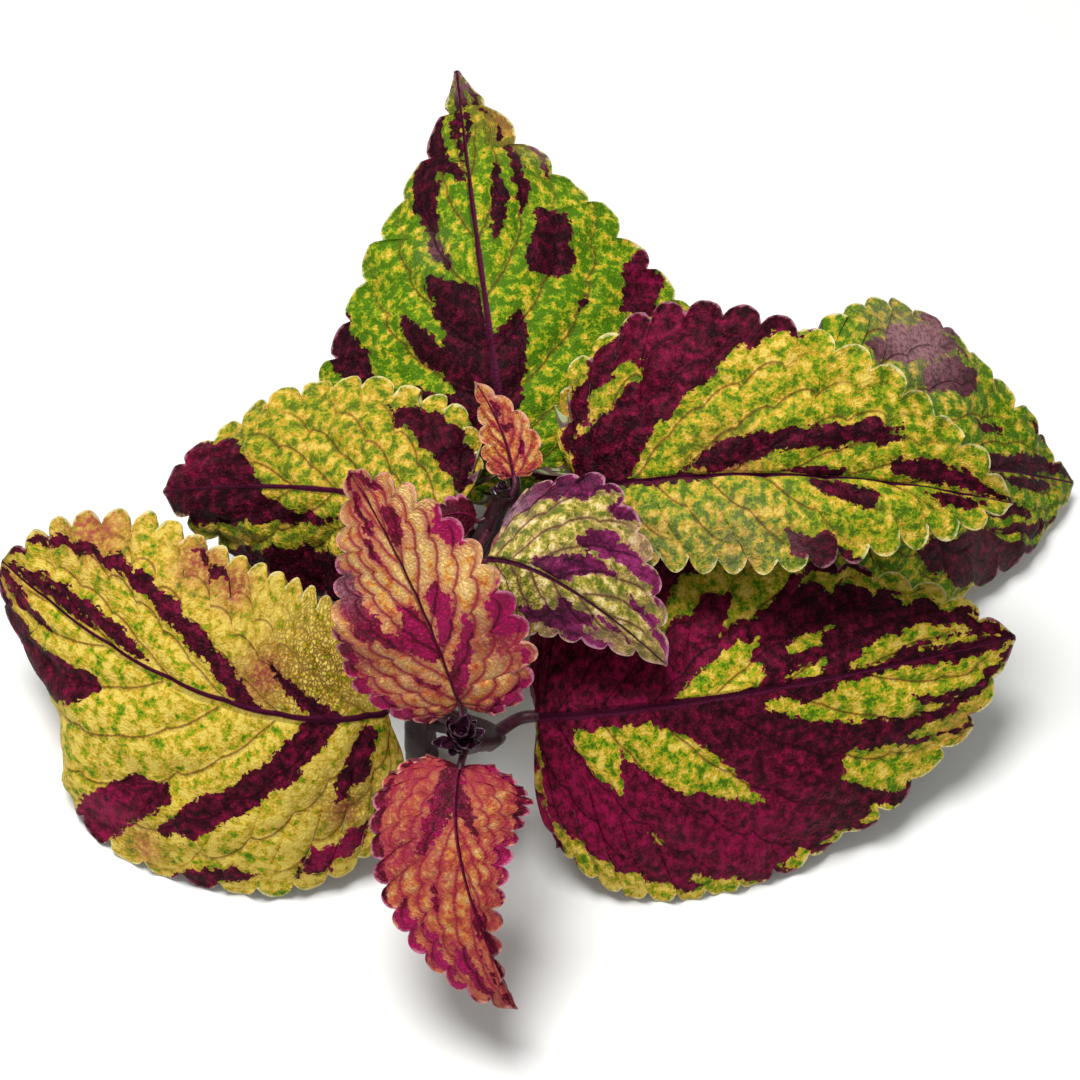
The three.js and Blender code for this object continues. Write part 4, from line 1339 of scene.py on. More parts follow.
@dataclass
class Leaf:
    """One leaf: a blade quilted between its veins, with its stalk and the rib under the midrib."""

    plan: LeafPlan
    lobe_share: float = 0.2  # share of the outline whose veins leave the midrib's foot
    foot_share: float = 0.012
    vein_crowding: float = 1.15
    vein_lean: float = 0.1
    vein_lift: float = 0.06
    roll_start: float = 0.7
    stalk_taper: tuple[float, float] = (1.15, 0.7)
    stalk_lead: float = 0.25
    rib_reach: float = 0.3  # share of the midrib where the stalk's curve ends
    rib_end: float = 0.93
    rib_foot: float = 0.03
    rib_sink: float = 0.7
    rib_thinning: float = 0.85
    rib_sides: int = 12
    rib_steps: tuple[int, int] = (48, 30)
    rib_cover: float = 0.62  # half width of the midrib's colour over the stalk's radius
    rib_narrowing: float = 0.75
    groove_share: float = 0.6  # depth of the midrib over the height of the swell
    column_crowding: float = 0.92
    scallop_vary: tuple[float, float] = (0.75, 1.2)
    scallop_power: float = 0.7  # under 1 for round scallops with sharp notches
    scallop_middle: float = 0.78
    outline_steps: int = 801
    patch_overlap: float = 3.0  # how far a patch at the midrib runs past it
    unpatched: float = -30.0
    full_pillow: float = 8.0  # spacing of side veins between which the blade swells fully
    dome_power: float = 0.6
    pucker_ratio: float = 3.4  # length of a pucker over the height of the swell
    pucker_share: float = 0.28
    waves: tuple[float, float] = (24.0, 7.0)  # lengths of the broad and the small swells
    wave_shares: tuple[float, float] = (0.95, 0.26)
    spacing_range: tuple[float, float] = (0.5, 16.0)
    next_cells: int = 40  # added to one half's vein numbers, so that the halves draw different cells
    most_tint: float = 1.2
    clear: float = 0.1  # least height over the ground

    def midrib(self) -> np.ndarray:
        """The midrib's first, middle and last points."""
        return np.array([self.plan.base, self.plan.mid, self.plan.tip], float)

    def length(self) -> float:
        """The midrib's length along its three points."""
        base, mid, tip = self.midrib()
        return float(np.linalg.norm(mid - base) + np.linalg.norm(tip - mid))

    def frame_at(self, station: np.ndarray) -> tuple[np.ndarray, np.ndarray, np.ndarray, np.ndarray]:
        """The midrib's points and the blade's axes there.

        Args:
            station: Shares of the way along the midrib; below 0 it runs on straight.

        Returns:
            Points, and unit vectors along the midrib, to the right and up.
        """
        base, mid, tip = self.midrib()
        control = 2 * mid - (base + tip) / 2
        t = np.maximum(station, 0)[..., None]
        point = (1 - t) ** 2 * base + 2 * t * (1 - t) * control + t**2 * tip
        forward = unit(2 * (1 - t) * (control - base) + 2 * t * (tip - control))
        point = point + forward * (np.minimum(station, 0) * self.length())[..., None]
        peak = (self.plan.left.peak + self.plan.right.peak) / 2
        middle = unit(2 * (1 - peak) * (control - base) + 2 * peak * (tip - control))
        across = np.array(self.plan.right.widest, float) - np.array(self.plan.left.widest, float)
        across = unit(across - across @ middle * middle)
        across = unit(across - (forward @ across)[..., None] * forward)
        return point, forward, across, np.cross(across, forward)

    def half(self, side: Side) -> Half:
        """The plan of one half."""
        return self.plan.left if side is Side.LEFT else self.plan.right

    def width_and_fold(self, side: Side) -> tuple[float, float]:
        """The flat width of a half and the angle at which it leaves the midrib.

        Args:
            side: Which half.

        Returns:
            Width in millimetres and angle in radians.
        """
        half = self.half(side)
        point, forward, across, up = (v[0] for v in self.frame_at(np.array([half.peak])))
        reach = np.array(half.widest, float) - point
        reach = reach - reach @ forward * forward
        chord = float(np.linalg.norm(reach))
        curl = math.radians(half.curl)
        width = chord * curl / 2 / math.sin(curl / 2) if curl > 0 else chord
        return width, math.atan2(reach @ up, side.value * (reach @ across)) + curl / 2

    def outline(self, side: Side, u: np.ndarray) -> np.ndarray:
        """The scalloped margin of a half, laid flat.

        Args:
            side: Which half.
            u: Shares of the outline from stalk to tip.

        Returns:
            Distances along and out from the midrib, in millimetres.
        """
        half, lobe, scallops = self.half(side), self.plan.lobe, self.plan.scallops
        peak, full, rest = half.peak, half.full, 1 - half.peak
        back = (-lobe, -0.45 * lobe) if lobe > 0 else (-0.35 * lobe, -0.8 * lobe)
        shape = np.array([
            (0, 0.03), (back[0], 0.27), (back[1], 0.62), (0.42 * peak, 0.93 + 1.5 * min(lobe, 0)), (peak, 1),
            (peak + 0.394 * rest, 0.7 + 0.22 * full), (peak + 0.742 * rest, 0.28 + 0.34 * full),
            (peak + 0.91 * rest, 0.09 + 0.22 * full), (1, 0.012),
        ])
        fine = np.linspace(0, 1, self.outline_steps)
        stretch = np.array([self.length(), self.width_and_fold(side)[0]])
        line = spline(shape * stretch, fine, centripetal=False)
        heading = unit(np.gradient(line, axis=0))
        at, aim = (np.stack([np.interp(u, fine, way[:, k]) for k in (0, 1)], axis=-1)
                   for way in (line, heading))
        out = np.stack([-aim[..., 1], aim[..., 0]], axis=-1)
        random = np.random.default_rng(len(self.plan.name) + side.value)
        index = np.minimum((u * scallops).astype(int), scallops - 1)
        vary = random.uniform(*self.scallop_vary, scallops)[index]
        wave = np.abs(np.sin(np.pi * u * scallops)) ** self.scallop_power
        fade = np.clip(u / 0.1, 0.15, 1) * np.clip((1 - u) / 0.07, 0.0, 1)
        shift = self.plan.size.scallop_depth * vary * (wave - self.scallop_middle) * fade
        return at + out * shift[..., None]

    def flat(self, side: Side, u: np.ndarray, w: np.ndarray) -> tuple[np.ndarray, np.ndarray]:
        """Flat coordinates of points of a half.

        Args:
            side: Which half.
            u: Shares of the outline.
            w: Shares of the way from midrib to margin.

        Returns:
            Distances along and out from the midrib.
        """
        beyond = np.maximum(u - self.lobe_share, 0) / (1 - self.lobe_share)
        foot = self.foot_share * np.minimum(u / self.lobe_share, 1)
        start = self.length() * (foot + (1 - self.foot_share) * beyond**self.vein_crowding)
        edge = self.outline(side, u)
        x, y = edge[..., 0], edge[..., 1]
        middle_x = (start + x) / 2 - self.vein_lean * y
        middle_y = y / 2 + self.vein_lift * (x - start)
        along = (1 - w) ** 2 * start + 2 * w * (1 - w) * middle_x + w**2 * x
        return along, 2 * w * (1 - w) * middle_y + w**2 * y

    def placed(self, side: Side, along: np.ndarray, out: np.ndarray) -> np.ndarray:
        """Carries flat points to the curved blade.

        Args:
            side: Which half.
            along: Distances along the midrib.
            out: Distances out from it.

        Returns:
            Points in the growing frame.
        """
        half = self.half(side)
        width, fold = self.width_and_fold(side)
        station = along / self.length()
        roll = math.radians(half.roll) * smoothstep(station, self.roll_start, 1)
        bend = (math.radians(half.curl) + roll) / width + 1e-9
        point, _, across, up = self.frame_at(station)
        sideways = (math.sin(fold) - np.sin(fold - bend * out)) / bend
        rise = (np.cos(fold - bend * out) - math.cos(fold)) / bend
        return point + across * (side.value * sideways)[..., None] + up * rise[..., None]

    def patch_distance(self, side: Side, x: np.ndarray, y: np.ndarray) -> np.ndarray:
        """Signed distance to the half's dark patches.

        Args:
            side: Which half.
            x: Flat distances along the midrib.
            y: Flat distances out from it.

        Returns:
            Millimetres, above 0 inside a dark patch.
        """
        half = self.half(side)
        best = np.full(x.shape, self.unpatched)
        steps = np.linspace(0, 1, 9)[:-1, None]
        for polygons, sign, merged in ((half.patches, 1, np.maximum), (half.holes, -1, np.minimum)):
            for polygon in polygons:
                corners = np.array([*polygon, polygon[0]])
                ring = np.concatenate([a + (b - a) * steps for a, b in zip(corners[:-1], corners[1:])])
                u = np.clip(ring[:, 0] + half.lag * ring[:, 1], 0, 1)
                ring_x, ring_y = self.flat(side, u, ring[:, 1])
                ring_y = np.where(ring[:, 1] < 0.001, -self.patch_overlap, ring_y)
                best = merged(best, sign * polygon_distance(x, y, ring_x, ring_y))
        return best * half.ground.value

    def groove(self, station: np.ndarray) -> np.ndarray:
        """How deep the midrib lies in the upper face: not at all at the foot, more along it."""
        return self.groove_share * self.plan.size.swell * smoothstep(station, 0.08, 0.45)

    def relief(self, u: np.ndarray, w: np.ndarray, grid: dict[str, np.ndarray]) -> np.ndarray:
        """How far the blade swells off its smooth middle surface.

        Args:
            u: Shares of the outline.
            w: Shares of the way out.
            grid: The half's flat coordinates x and y, vein numbers, spacing and run.

        Returns:
            Heights in millimetres.
        """
        size, x, y, number = self.plan.size, grid["x"], grid["y"], grid["number"]
        seed = sum(map(ord, self.plan.name))
        dome = np.abs(np.sin(np.pi * number)) ** self.dome_power
        room = np.clip(grid["vein_mm"] / self.full_pillow, 0, 1)
        pillow = size.swell * dome * room * (1 - 0.8 * smoothstep(w, 0.5, 1))
        steps = grid["run"] / (self.pucker_ratio * size.swell) + 0.37 * np.floor(number)
        rung = np.abs(np.sin(np.pi * steps)) ** self.dome_power
        pillow += self.pucker_share * size.swell * dome * room * rung
        groove = -self.groove(x / self.length()) * np.exp(-((y / (0.9 * size.stalk_radius)) ** 2))
        ruffle = size.ruffle * w**3 * np.cos(2 * np.pi * self.plan.scallops * u)
        broad, small = (share * wobble(x, y, wave, seed + index)
                        for index, (share, wave) in enumerate(zip(self.wave_shares, self.waves)))
        swell = size.swell * (broad + small) * smoothstep(w, 0.05, 0.5)
        tips = smoothstep(u, 0.0, 0.06) * (1 - smoothstep(u, 0.94, 1))
        return (pillow + ruffle + swell) * tips + groove * (1 - smoothstep(u, 0.9, 1))

    def vein_spacing(self, x: np.ndarray, y: np.ndarray, number: np.ndarray) -> np.ndarray:
        """How far apart the side veins are at each point of a half's grid.

        Args:
            x: Flat distances along the midrib.
            y: Flat distances out from it.
            number: Vein numbers.

        Returns:
            Millimetres.
        """
        (x0, x1), (y0, y1), (n0, n1) = (np.gradient(values) for values in (x, y, number))
        area = x0 * y1 - x1 * y0
        area = np.where(np.abs(area) < 1e-6, 1e-6, area)
        slope = np.hypot((n0 * y1 - n1 * y0) / area, (n1 * x0 - n0 * x1) / area)
        return np.clip(1 / np.maximum(slope, 1e-3), *self.spacing_range)

    def vein_run(self, side: Side, u: np.ndarray, w: np.ndarray) -> np.ndarray:
        """How far out along its own side vein each point of a half's grid lies.

        Args:
            side: Which half.
            u: The rows' shares of the outline.
            w: The columns' shares of the way out.

        Returns:
            Millimetres, one for each row and column.
        """
        lag = self.half(side).lag
        value = np.linspace(-lag, 1, 241)
        at = np.clip(value[:, None] + lag * w, 0, 1)
        run = along_rows(*self.flat(side, at, w + 0 * at))
        return np.stack([np.interp(u - lag * share, value, run[:, k]) for k, share in enumerate(w)], axis=1)

    def tints(self, side: Side, x: np.ndarray, y: np.ndarray) -> dict[str, np.ndarray]:
        """How strong each tint is on a half.

        Args:
            side: Which half.
            x: Flat distances along the midrib.
            y: Flat distances out from it.

        Returns:
            Strengths by the tint's attribute.
        """
        half, plan = self.half(side), self.plan
        starts = {Tint.GOLD: plan.gold, Tint.GLOW: plan.glow, Tint.BLUSH: plan.blush, Tint.RUST: plan.rust}
        found = {}
        for tint in Tint:
            value = np.full(x.shape, starts.get(tint, 0.0))
            for wash in (item for item in half.washes if item.tint is tint):
                at_u = np.clip(np.array([wash.at[0] + half.lag * wash.at[1]]), 0, 1)
                centre_x, centre_y = self.flat(side, at_u, np.array([wash.at[1]]))
                away = (x - centre_x) ** 2 + (y - centre_y) ** 2
                value += wash.amount * np.exp(-away / wash.radius**2)
            found[tint.value] = np.clip(value, 0, self.most_tint)
        return found

    def half_grid(self, side: Side) -> dict[str, np.ndarray]:
        """Points and attributes of one half on its grid of rows and columns.

        Args:
            side: Which half.

        Returns:
            Arrays by name, each with rows from stalk to tip and columns from midrib to margin.
        """
        half, size = self.half(side), self.plan.size
        rows = self.plan.scallops * size.steps_per_scallop
        u = np.linspace(0, 1, rows + 1)[:, None] * np.ones(size.columns + 1)
        w = np.ones((rows + 1, 1)) * np.linspace(0, 1, size.columns + 1) ** self.column_crowding
        x, y = self.flat(side, u, w)
        middle, station = self.placed(side, x, y), x / self.length()
        down, out = np.gradient(middle, axis=0), np.gradient(middle, axis=1)
        normal = unit(np.cross(out, down) * -side.value) * -1
        at_midrib = (u < 0.04) | (w < 1e-6)
        normal = unit(np.where(at_midrib[..., None], self.frame_at(station)[3], normal))
        number = (u - half.lag * w - half.first_vein) / half.vein_pitch
        reach = along_rows(x, y)
        cover = self.rib_cover * size.stalk_radius
        rib_width = cover * (1 - self.rib_narrowing * np.clip(station, 0, 1))
        grid = {
            "middle": middle, "normal": normal, "x": x, "y": y, "number": number,
            "vein_mm": self.vein_spacing(x, y, number), "run": self.vein_run(side, u[:, 0], w[0]),
            "rim_mm": reach[:, -1:] - reach, "patch_mm": self.patch_distance(side, x, y),
            "rib": y / np.maximum(rib_width, 0.05), **self.tints(side, x, y),
        }
        grid["relief"] = self.relief(u, w, grid)
        return grid

    def blade(self) -> Shell:
        """Makes the blade as one closed sheet.

        Returns:
            The sheet, its upper face in slot 0 and its underside in slot 1.
        """
        left, right = self.half_grid(Side.LEFT), self.half_grid(Side.RIGHT)
        whole = {k: np.concatenate([left[k][:, :0:-1], right[k]], axis=1) for k in left}
        crease = left["middle"].shape[1] - 1
        whole["normal"][:, crease] = unit(left["normal"][:, 0] + right["normal"][:, 0])
        flat, veins = (np.stack([whole[a], whole[b]], axis=-1) for a, b in (("x", "y"), ("number", "run")))
        flat[:, :crease, 1] *= -1
        veins[:, :crease, 0] += self.next_cells
        thickness = self.plan.size.thickness
        lifted = whole["middle"] + whole["normal"] * whole["relief"][..., None]
        faces = []
        for way, least in ((1, self.clear + thickness), (-1, self.clear)):
            face = lifted + whole["normal"] * (way * thickness / 2)
            face[..., 2] = np.maximum(face[..., 2], least)
            faces.append(face.reshape(-1, 3))
        parts = sheet_faces(*whole["x"].shape)
        slots = np.concatenate([np.full(len(part), slot) for part, slot in zip(parts, (0.0, 1.0, 0.0))])
        return Shell(
            np.concatenate(faces), np.concatenate(parts), slots,
            {key: np.tile(whole[key].ravel(), 2) for key in CARRIED},
            {"flat": np.tile(flat.reshape(-1, 2), (2, 1)), "veins": np.tile(veins.reshape(-1, 2), (2, 1))},
        )

    def stalk(self) -> Shell:
        """Makes the stalk from its stem to the blade, and on as the rib under the midrib.

        Returns:
            The stalk and rib as one tube in slot 2.
        """
        radius, reach, (thick, thin) = self.plan.size.stalk_radius, self.rib_reach, self.stalk_taper
        base, forward = (v[0] for v in self.frame_at(np.array([0.0]))[:2])
        joint = np.array(self.plan.joint, float)
        lead = self.stalk_lead * float(np.linalg.norm(joint - base))
        point, _, _, up = self.frame_at(np.array([self.rib_foot, reach / 2, reach]))
        knots = np.vstack([joint, base - lead * forward, point - up * self.rib_sink * radius])
        shares = np.linspace(0, 1, self.rib_steps[0] + 1)
        path = spline(knots, shares, centripetal=True)
        radii = radius * (thick + (thin - thick) * shares)
        beyond = np.linspace(reach, self.rib_end, self.rib_steps[1])[1:]
        point, _, _, up = self.frame_at(beyond)
        thinning = radius * thin * (1 - self.rib_thinning * (beyond - reach) / (self.rib_end - reach))
        blend = smoothstep(beyond, reach, reach + 0.15)
        depth = self.rib_sink * radius * (1 - blend) + (self.groove(beyond) + thinning) * blend
        path = np.vstack([path, point - up * depth[:, None]])
        path[:, 2] = np.maximum(path[:, 2], self.clear + 1.2 * radius)
        return tube(path, np.concatenate([radii, thinning]), self.rib_sides, slot=2)

    def build(self, materials: list[Material], slot: str) -> None:
        """Makes the leaf and lets it stand for its CAD node.

        Args:
            materials: Upper face, underside and stalk.
            slot: Not used.
        """
        made = self.blade().joined(self.stalk()).build(f"{self.plan.name}_grown", materials)
        stand_in(made, self.plan.name)


# --- what Geometry Nodes make -------------------------------------------------------------------


@dataclass
class Grower:
    """Runs a Geometry Nodes tree on a starting mesh and keeps the result as a plain mesh."""

    tree: Tree

    def grow(self, name: str, start: bpy.types.Mesh, values: dict[str, object]) -> Object:
        """Grows a piece.

        Args:
            name: The piece's name.
            start: The mesh that the tree works on.
            values: The tree's inputs by name.

        Returns:
            The finished object, with no modifier left.
        """
        holder = linked(f"{name}_start", start)
        modifier = holder.modifiers.new("grow", "NODES")
        modifier.node_group = self.tree
        for item in self.tree.interface.items_tree:
            if item.name in values:
                modifier[item.identifier] = values[item.name]
        depsgraph = bpy.context.evaluated_depsgraph_get()
        mesh = bpy.data.meshes.new_from_object(holder.evaluated_get(depsgraph))
        mesh.name = name
        bpy.data.objects.remove(holder)
        return linked(name, mesh)


def new_tree(name: str, inputs: dict[str, str]) -> tuple[Tree, dict[str, Socket]]:
    """Starts a Geometry Nodes tree.

    Args:
        name: The tree's name.
        inputs: Kind of each named input besides the geometry, such as Float.

    Returns:
        The tree, and its inputs by name, Geometry among them.
    """
    tree = bpy.data.node_groups.new(name, "GeometryNodeTree")
    for key, kind in {"Geometry": "Geometry", **inputs}.items():
        tree.interface.new_socket(key, in_out="INPUT", socket_type=f"NodeSocket{kind}")
    tree.interface.new_socket("Geometry", in_out="OUTPUT", socket_type="NodeSocketGeometry")
    return tree, {socket.name: socket for socket in add(tree, "NodeGroupInput") if socket.name}


def square_section(tree: Tree, squareness: Socket) -> Socket:
    """A rounded square of half width 1, as a curve.

    Args:
        tree: The tree.
        squareness: 2 gives a circle, and more gives sharper angles.

    Returns:
        The curve.
    """
    circle = add(tree, "GeometryNodeCurvePrimitiveCircle", {"Resolution": 32, "Radius": 1.0})["Curve"]
    place = add(tree, "GeometryNodeInputPosition")["Position"]
    parts = add(tree, "ShaderNodeSeparateXYZ", place)
    powers = []
    for axis in ("X", "Y"):
        size = add(tree, MATH, parts[axis], operation="ABSOLUTE")["Value"]
        powers.append(add(tree, MATH, size, squareness, operation="POWER")["Value"])
    total = add(tree, MATH, *powers, operation="ADD")["Value"]
    root = add(tree, MATH, -1.0, squareness, operation="DIVIDE")["Value"]
    out = add(tree, MATH, total, root, operation="POWER")["Value"]
    squared = add(tree, VECTOR, {"Vector": place, "Scale": out}, operation="SCALE")["Vector"]
    return add(tree, "GeometryNodeSetPosition", {"Geometry": circle, "Position": squared})["Geometry"]


def stem_tree() -> Tree:
    """A tree that sweeps a four-angled section along a path and sets hairs on it.

    Returns:
        The tree. It reads the path's half_width attribute.
    """
    tree, given = new_tree("stem_sweep", {
        "Squareness": "Float", "Unevenness": "Float", "Hair length": "Float", "Hair radius": "Float",
        "Hairs per square metre": "Float", "Seed": "Int", "Skin": "Material", "Hair": "Material",
    })
    path = add(tree, "GeometryNodeMeshToCurve", {"Mesh": given["Geometry"]})["Curve"]
    width = add(tree, "GeometryNodeInputNamedAttribute", {"Name": "half_width"},
                data_type="FLOAT")["Attribute"]
    swept = add(tree, "GeometryNodeCurveToMesh", {
        "Curve": path, "Profile Curve": square_section(tree, given["Squareness"]), "Scale": width,
        "Fill Caps": True,
    })["Mesh"]
    noise = add(tree, NOISE, {"Scale": 320.0, "Detail": 2.0})["Fac"]
    rise = add(tree, MATH, noise, 0.5, operation="SUBTRACT")["Value"]
    far = add(tree, MATH, rise, given["Unevenness"], operation="MULTIPLY")["Value"]
    normal = add(tree, "GeometryNodeInputNormal")["Normal"]
    offset = add(tree, VECTOR, {"Vector": normal, "Scale": far}, operation="SCALE")["Vector"]
    skin = add(tree, "GeometryNodeSetPosition", {"Geometry": swept, "Offset": offset})["Geometry"]
    spots = add(tree, "GeometryNodeDistributePointsOnFaces", {
        "Mesh": skin, "Density": given["Hairs per square metre"], "Seed": given["Seed"],
    }, distribute_method="RANDOM")
    cone = add(tree, "GeometryNodeMeshCone", {
        "Vertices": 4, "Radius Top": 0.0, "Radius Bottom": given["Hair radius"],
        "Depth": given["Hair length"],
    }, fill_type="TRIANGLE_FAN")["Mesh"]
    tilt = add(tree, "FunctionNodeRandomValue", {
        "Min": (-0.5, -0.5, 0.0), "Max": (0.5, 0.5, 0.0), "Seed": given["Seed"],
    }, data_type="FLOAT_VECTOR")["Value"]
    lean = add(tree, "FunctionNodeEulerToRotation", {"Euler": tilt})["Rotation"]
    turned = add(tree, "FunctionNodeRotateRotation", {"Rotation": spots["Rotation"], "Rotate By": lean},
                 rotation_space="LOCAL")["Rotation"]
    hairs = add(tree, "GeometryNodeInstanceOnPoints", {
        "Points": spots["Points"], "Instance": cone, "Rotation": turned,
    })["Instances"]
    real = add(tree, "GeometryNodeRealizeInstances", {"Geometry": hairs})["Geometry"]
    dressed = add(tree, "GeometryNodeSetMaterial", {"Geometry": real, "Material": given["Hair"]})["Geometry"]
    clad = add(tree, "GeometryNodeSetMaterial", {"Geometry": skin, "Material": given["Skin"]})["Geometry"]
    smooth = add(tree, "GeometryNodeSetShadeSmooth", {"Geometry": clad})["Geometry"]
    both = add(tree, "GeometryNodeJoinGeometry", [dressed, smooth])["Geometry"]
    add(tree, "NodeGroupOutput", both)
    return tree


@dataclass
class Stem:
    """A square stem, swept along its path, a little swollen where leaves join it."""

    name: str
    axis: tuple[Point, ...]
    half_width: tuple[float, float]
    joints: tuple[float, ...]  # shares of its length where leaves leave it
    steps: int = 90
    node_swell: float = 0.16
    node_reach: float = 0.035
    squareness: float = 4.0
    unevenness: float = 0.5
    hair_length: float = 0.9
    hair_radius: float = 0.03
    hairs_per_square_metre: float = 60000.0

    def build(self, grower: Grower, skin: Material, hair: Material) -> None:
        """Makes the stem and lets it stand for its CAD node.

        Args:
            grower: Runs the sweeping tree.
            skin: The stem's skin.
            hair: The hairs' material.
        """
        shares = np.linspace(0, 1, self.steps + 1)
        path = metres(spline(np.array(self.axis, float), shares, centripetal=True))
        first, last = self.half_width
        width = first + (last - first) * shares
        for joint in self.joints:
            width *= 1 + self.node_swell * np.exp(-(((shares - joint) / self.node_reach) ** 2))
        start = bpy.data.meshes.new(f"{self.name}_path")
        start.from_pydata(path.tolist(), [(i, i + 1) for i in range(self.steps)], [])
        attribute = start.attributes.new("half_width", "FLOAT", "POINT")
        attribute.data.foreach_set("value", (width * MM).astype(np.float32))
        made = grower.grow(f"{self.name}_grown", start, {
            "Squareness": self.squareness, "Unevenness": self.unevenness * MM,
            "Hair length": self.hair_length * MM, "Hair radius": self.hair_radius * MM,
            "Hairs per square metre": self.hairs_per_square_metre, "Seed": len(self.name),
            "Skin": skin, "Hair": hair,
        })
        stand_in(made, self.name)


def scale_tree() -> Tree:
    """A tree that packs scale leaves round a growing point in a rising spiral.

    Returns:
        The tree. The geometry it is given is one scale leaf.
    """
    tree, given = new_tree("tip_scales", {
        "Count": "Int", "Length": "Float", "Radius": "Float", "Foot": "Vector", "Towards": "Vector",
        "Seed": "Int", "Skin": "Material",
    })
    points = add(tree, "GeometryNodePoints", {"Count": given["Count"]})["Geometry"]
    index = add(tree, "GeometryNodeInputIndex")["Index"]
    share = add(tree, MATH, index, given["Count"], operation="DIVIDE")["Value"]
    # Each scale stands a golden turn round from the one below.
    angle = add(tree, MATH, index, 2.4, operation="MULTIPLY")["Value"]
    narrow = add(tree, MATH, 1.0, share, operation="SUBTRACT")["Value"]
    rounded = add(tree, MATH, narrow, 0.6, operation="POWER")["Value"]
    reach = add(tree, MATH, rounded, given["Radius"], operation="MULTIPLY")["Value"]
    inner = add(tree, MATH, reach, 0.55, operation="MULTIPLY")["Value"]
    height = add(tree, MATH, share, given["Length"], operation="MULTIPLY")["Value"]
    place = {"Z": add(tree, MATH, height, 0.72, operation="MULTIPLY")["Value"]}
    for axis, turn in (("X", "COSINE"), ("Y", "SINE")):
        way = add(tree, MATH, angle, operation=turn)["Value"]
        place[axis] = add(tree, MATH, way, inner, operation="MULTIPLY")["Value"]
    seated = add(tree, "GeometryNodeSetPosition", {
        "Geometry": points, "Position": add(tree, "ShaderNodeCombineXYZ", place)["Vector"],
    })["Geometry"]
    jitter, size = (
        add(tree, "FunctionNodeRandomValue", {"Min_001": least, "Max_001": most, "Seed": given["Seed"]},
            data_type="FLOAT")[1]
        for least, most in ((-0.45, 0.45), (0.24, 0.46))
    )
    spread = add(tree, MATH, narrow, 0.75, 0.12, operation="MULTIPLY_ADD")["Value"]
    opened = add(tree, MATH, spread, jitter, operation="ADD")["Value"]
    turn = add(tree, "ShaderNodeCombineXYZ", {"Y": opened, "Z": angle})["Vector"]
    rotation = add(tree, "FunctionNodeEulerToRotation", {"Euler": turn})["Rotation"]
    tall = add(tree, MATH, size, given["Length"], operation="MULTIPLY")["Value"]
    scales = add(tree, "GeometryNodeInstanceOnPoints", {
        "Points": seated, "Instance": given["Geometry"], "Rotation": rotation, "Scale": tall,
    })["Instances"]
    real = add(tree, "GeometryNodeRealizeInstances", {"Geometry": scales})["Geometry"]
    aim = add(tree, "FunctionNodeAlignRotationToVector", {"Vector": given["Towards"]}, axis="Z")["Rotation"]
    stood = add(tree, "GeometryNodeTransform", {
        "Geometry": real, "Translation": given["Foot"], "Rotation": aim,
    })["Geometry"]
    dressed = add(tree, "GeometryNodeSetMaterial", {"Geometry": stood, "Material": given["Skin"]})["Geometry"]
    add(tree, "NodeGroupOutput", dressed)
    return tree


@dataclass
class GrowingTip:
    """The tuft of scale leaves at a growing point."""

    name: str
    foot: Point
    towards: Point
    length: float
    radius: float
    count: int
    rows: int = 6
    columns: int = 4
    thickness: float = 0.07  # of a scale of length 1

    def scale_leaf(self) -> bpy.types.Mesh:
        """One cupped scale leaf of length 1, its foot at the origin and its tip up +Z.

        Returns:
            A closed mesh of a few dozen faces.
        """
        t = np.linspace(0, 1, self.rows + 1)[:, None]
        s = np.linspace(-1, 1, self.columns + 1)[None, :]
        width = 0.27 * np.sin(np.pi * np.clip(t * 0.9 + 0.1, 0, 1)) ** 0.8 + 0.01
        bulge = 0.16 * np.sin(np.pi * t * 0.9) - 0.9 * (s * width) ** 2 / 0.3
        outer = np.stack([bulge + 0 * s, s * width, t + 0 * s], axis=-1).reshape(-1, 3)
        inner = outer - np.array([self.thickness, 0, 0])
        quads = np.concatenate(sheet_faces(self.rows + 1, self.columns + 1, turned=True))
        mesh = bpy.data.meshes.new(f"{self.name}_scale")
        mesh.from_pydata(np.vstack([outer, inner]).tolist(), [], quads.tolist())
        mesh.polygons.foreach_set("use_smooth", np.ones(len(quads), dtype=bool))
        return mesh

    def build(self, grower: Grower, skin: Material) -> None:
        """Makes the tuft and lets it stand for its CAD node.

        Args:
            grower: Runs the packing tree.
            skin: The scales' skin.
        """
        made = grower.grow(f"{self.name}_grown", self.scale_leaf(), {
            "Count": self.count, "Length": self.length * MM, "Radius": self.radius * MM,
            "Foot": tuple(metres(np.array(self.foot, float)).tolist()), "Towards": self.towards,
            "Seed": self.count, "Skin": skin,
        })
        stand_in(made, self.name)


# --- studio -------------------------------------------------------------------------------------


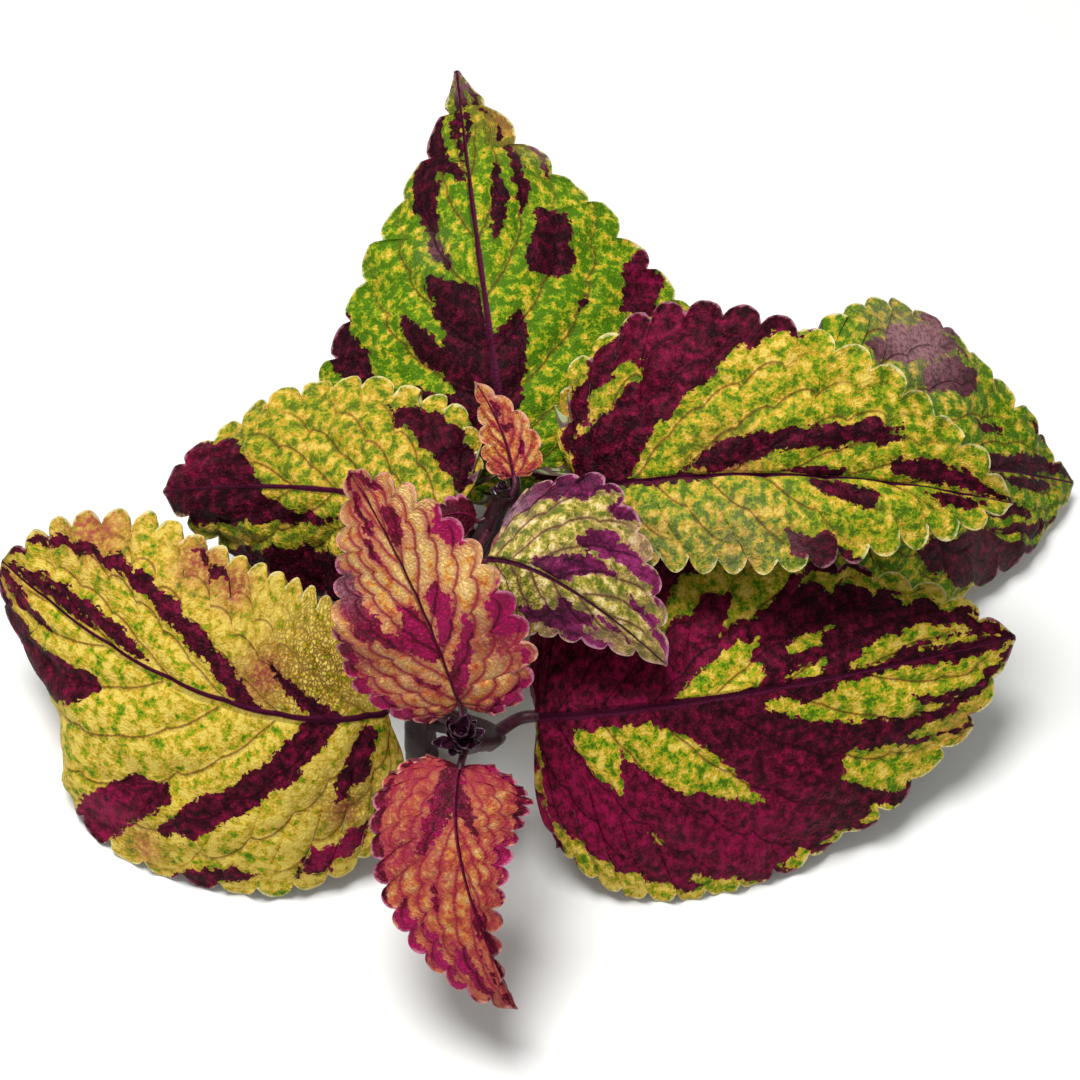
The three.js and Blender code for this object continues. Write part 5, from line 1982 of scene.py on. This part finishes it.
@dataclass(frozen=True)
class Studio:
    """Floor, soft lights and camera, in metres."""

    target: Point = (-0.007, 0.012, 0.042)
    distance: float = 0.56
    elevation: float = 52.0
    lens: float = 74.67
    floor_size: float = 12.0
    key_place: Point = (-0.2, 0.04, 1.14)
    key_size: float = 0.5
    key_watts: float = 13.2
    sky: float = 0.36

    def floor(self) -> None:
        """A plain pale floor."""
        mesh = bpy.data.meshes.new("floor")
        reach = self.floor_size / 2
        corners = [(x * reach, y * reach, 0) for x, y in ((-1, -1), (1, -1), (1, 1), (-1, 1))]
        mesh.from_pydata(corners, [], [(0, 1, 2, 3)])
        # Matt white paper.
        material = bpy.data.materials.new("white_paper")
        material.use_nodes = True
        shader = material.node_tree.nodes["Principled BSDF"]
        shader.inputs["Base Color"].default_value = linear("#f3f3f1")
        shader.inputs["Roughness"].default_value = 0.9
        mesh.materials.append(material)
        linked("floor", mesh)

    def lights(self) -> None:
        """A pale sky and one large soft light over the plant's left shoulder."""
        world = bpy.data.worlds.new("studio")
        world.use_nodes = True
        background = world.node_tree.nodes["Background"]
        background.inputs["Color"].default_value = linear("#fbfbfb")
        background.inputs["Strength"].default_value = self.sky
        bpy.context.scene.world = world
        lamp = bpy.data.lights.new("soft_key", "AREA")
        lamp.shape, lamp.size, lamp.energy = "DISK", self.key_size, self.key_watts
        key = linked("soft_key", lamp)
        key.location = self.key_place
        key.rotation_euler = (Vector(self.target) - key.location).to_track_quat("-Z", "Y").to_euler()

    def camera(self) -> None:
        """The camera, looking down on the plant from its front."""
        data = bpy.data.cameras.new("camera")
        data.sensor_width, data.lens = 36.0, self.lens
        data.clip_start, data.clip_end = 0.01, 50.0
        made = linked("camera", data)
        angle = math.radians(self.elevation)
        back = Vector((0, -math.cos(angle), math.sin(angle)))
        made.location = Vector(self.target) + back * self.distance
        made.rotation_euler = (-back).to_track_quat("-Z", "Y").to_euler()
        bpy.context.scene.camera = made
        bpy.context.scene.view_settings.view_transform = "Standard"


# --- the plant ----------------------------------------------------------------------------------

STEMS = (
    Stem("main_stem", ((-30, -37, 0), (-30, -37, 12), (-28, -34, 32), (-21, -30, 56), (-13, -25, 75),
                       (-9, -22.5, 85)), (3.6, 2.0), (0.24, 0.53, 0.73, 0.86)),
    Stem("front_shoot_stem", ((-29, -36, 17), (-19, -42, 22), (-11, -53, 34), (-12.5, -62, 46),
                              (-18, -69, 55)), (2.8, 1.9), (0.72, 0.94)),
)
TIPS = (
    GrowingTip("main_shoot_tip", (-9, -22.5, 85.5), (0.15, 0.1, 1), 6, 2.6, 22),
    GrowingTip("front_shoot_tip", (-18.3, -69.2, 56), (0.1, -0.3, 0.95), 12, 3.6, 34),
)


def main() -> None:
    """Builds the plant and its studio in order, and reports each piece."""
    logging.basicConfig(level=logging.INFO, format="%(name)s %(message)s")
    stalk = STALK_SKIN.material()
    mosaic_under, young_under = MOSAIC_UNDERSIDE.material(), YOUNG_UNDERSIDE.material()
    dress = {
        Age.MATURE: [UpperFace(MOSAIC_LEAF).material(), mosaic_under, stalk],
        Age.TURNING: [UpperFace(TURNING_LEAF).material(), young_under, stalk],
        Age.YOUNG: [UpperFace(YOUNG_LEAF).material(), young_under, stalk],
    }
    for plan in LEAVES:
        slot = "mosaic_leaf" if plan.size is LARGE else "young_leaf"
        Leaf(plan).build(dress[plan.age], slot)
    sweeping = Grower(stem_tree())
    skin, hair = STEM_SKIN.material(), HAIR.material()
    for stem in STEMS:
        stem.build(sweeping, skin, hair)
    packing = Grower(scale_tree())
    scale_skin = SCALE_SKIN.material()
    for tip in TIPS:
        tip.build(packing, scale_skin)
    studio = Studio()
    studio.floor()
    studio.lights()
    studio.camera()


if __name__ == "__main__":
    main()
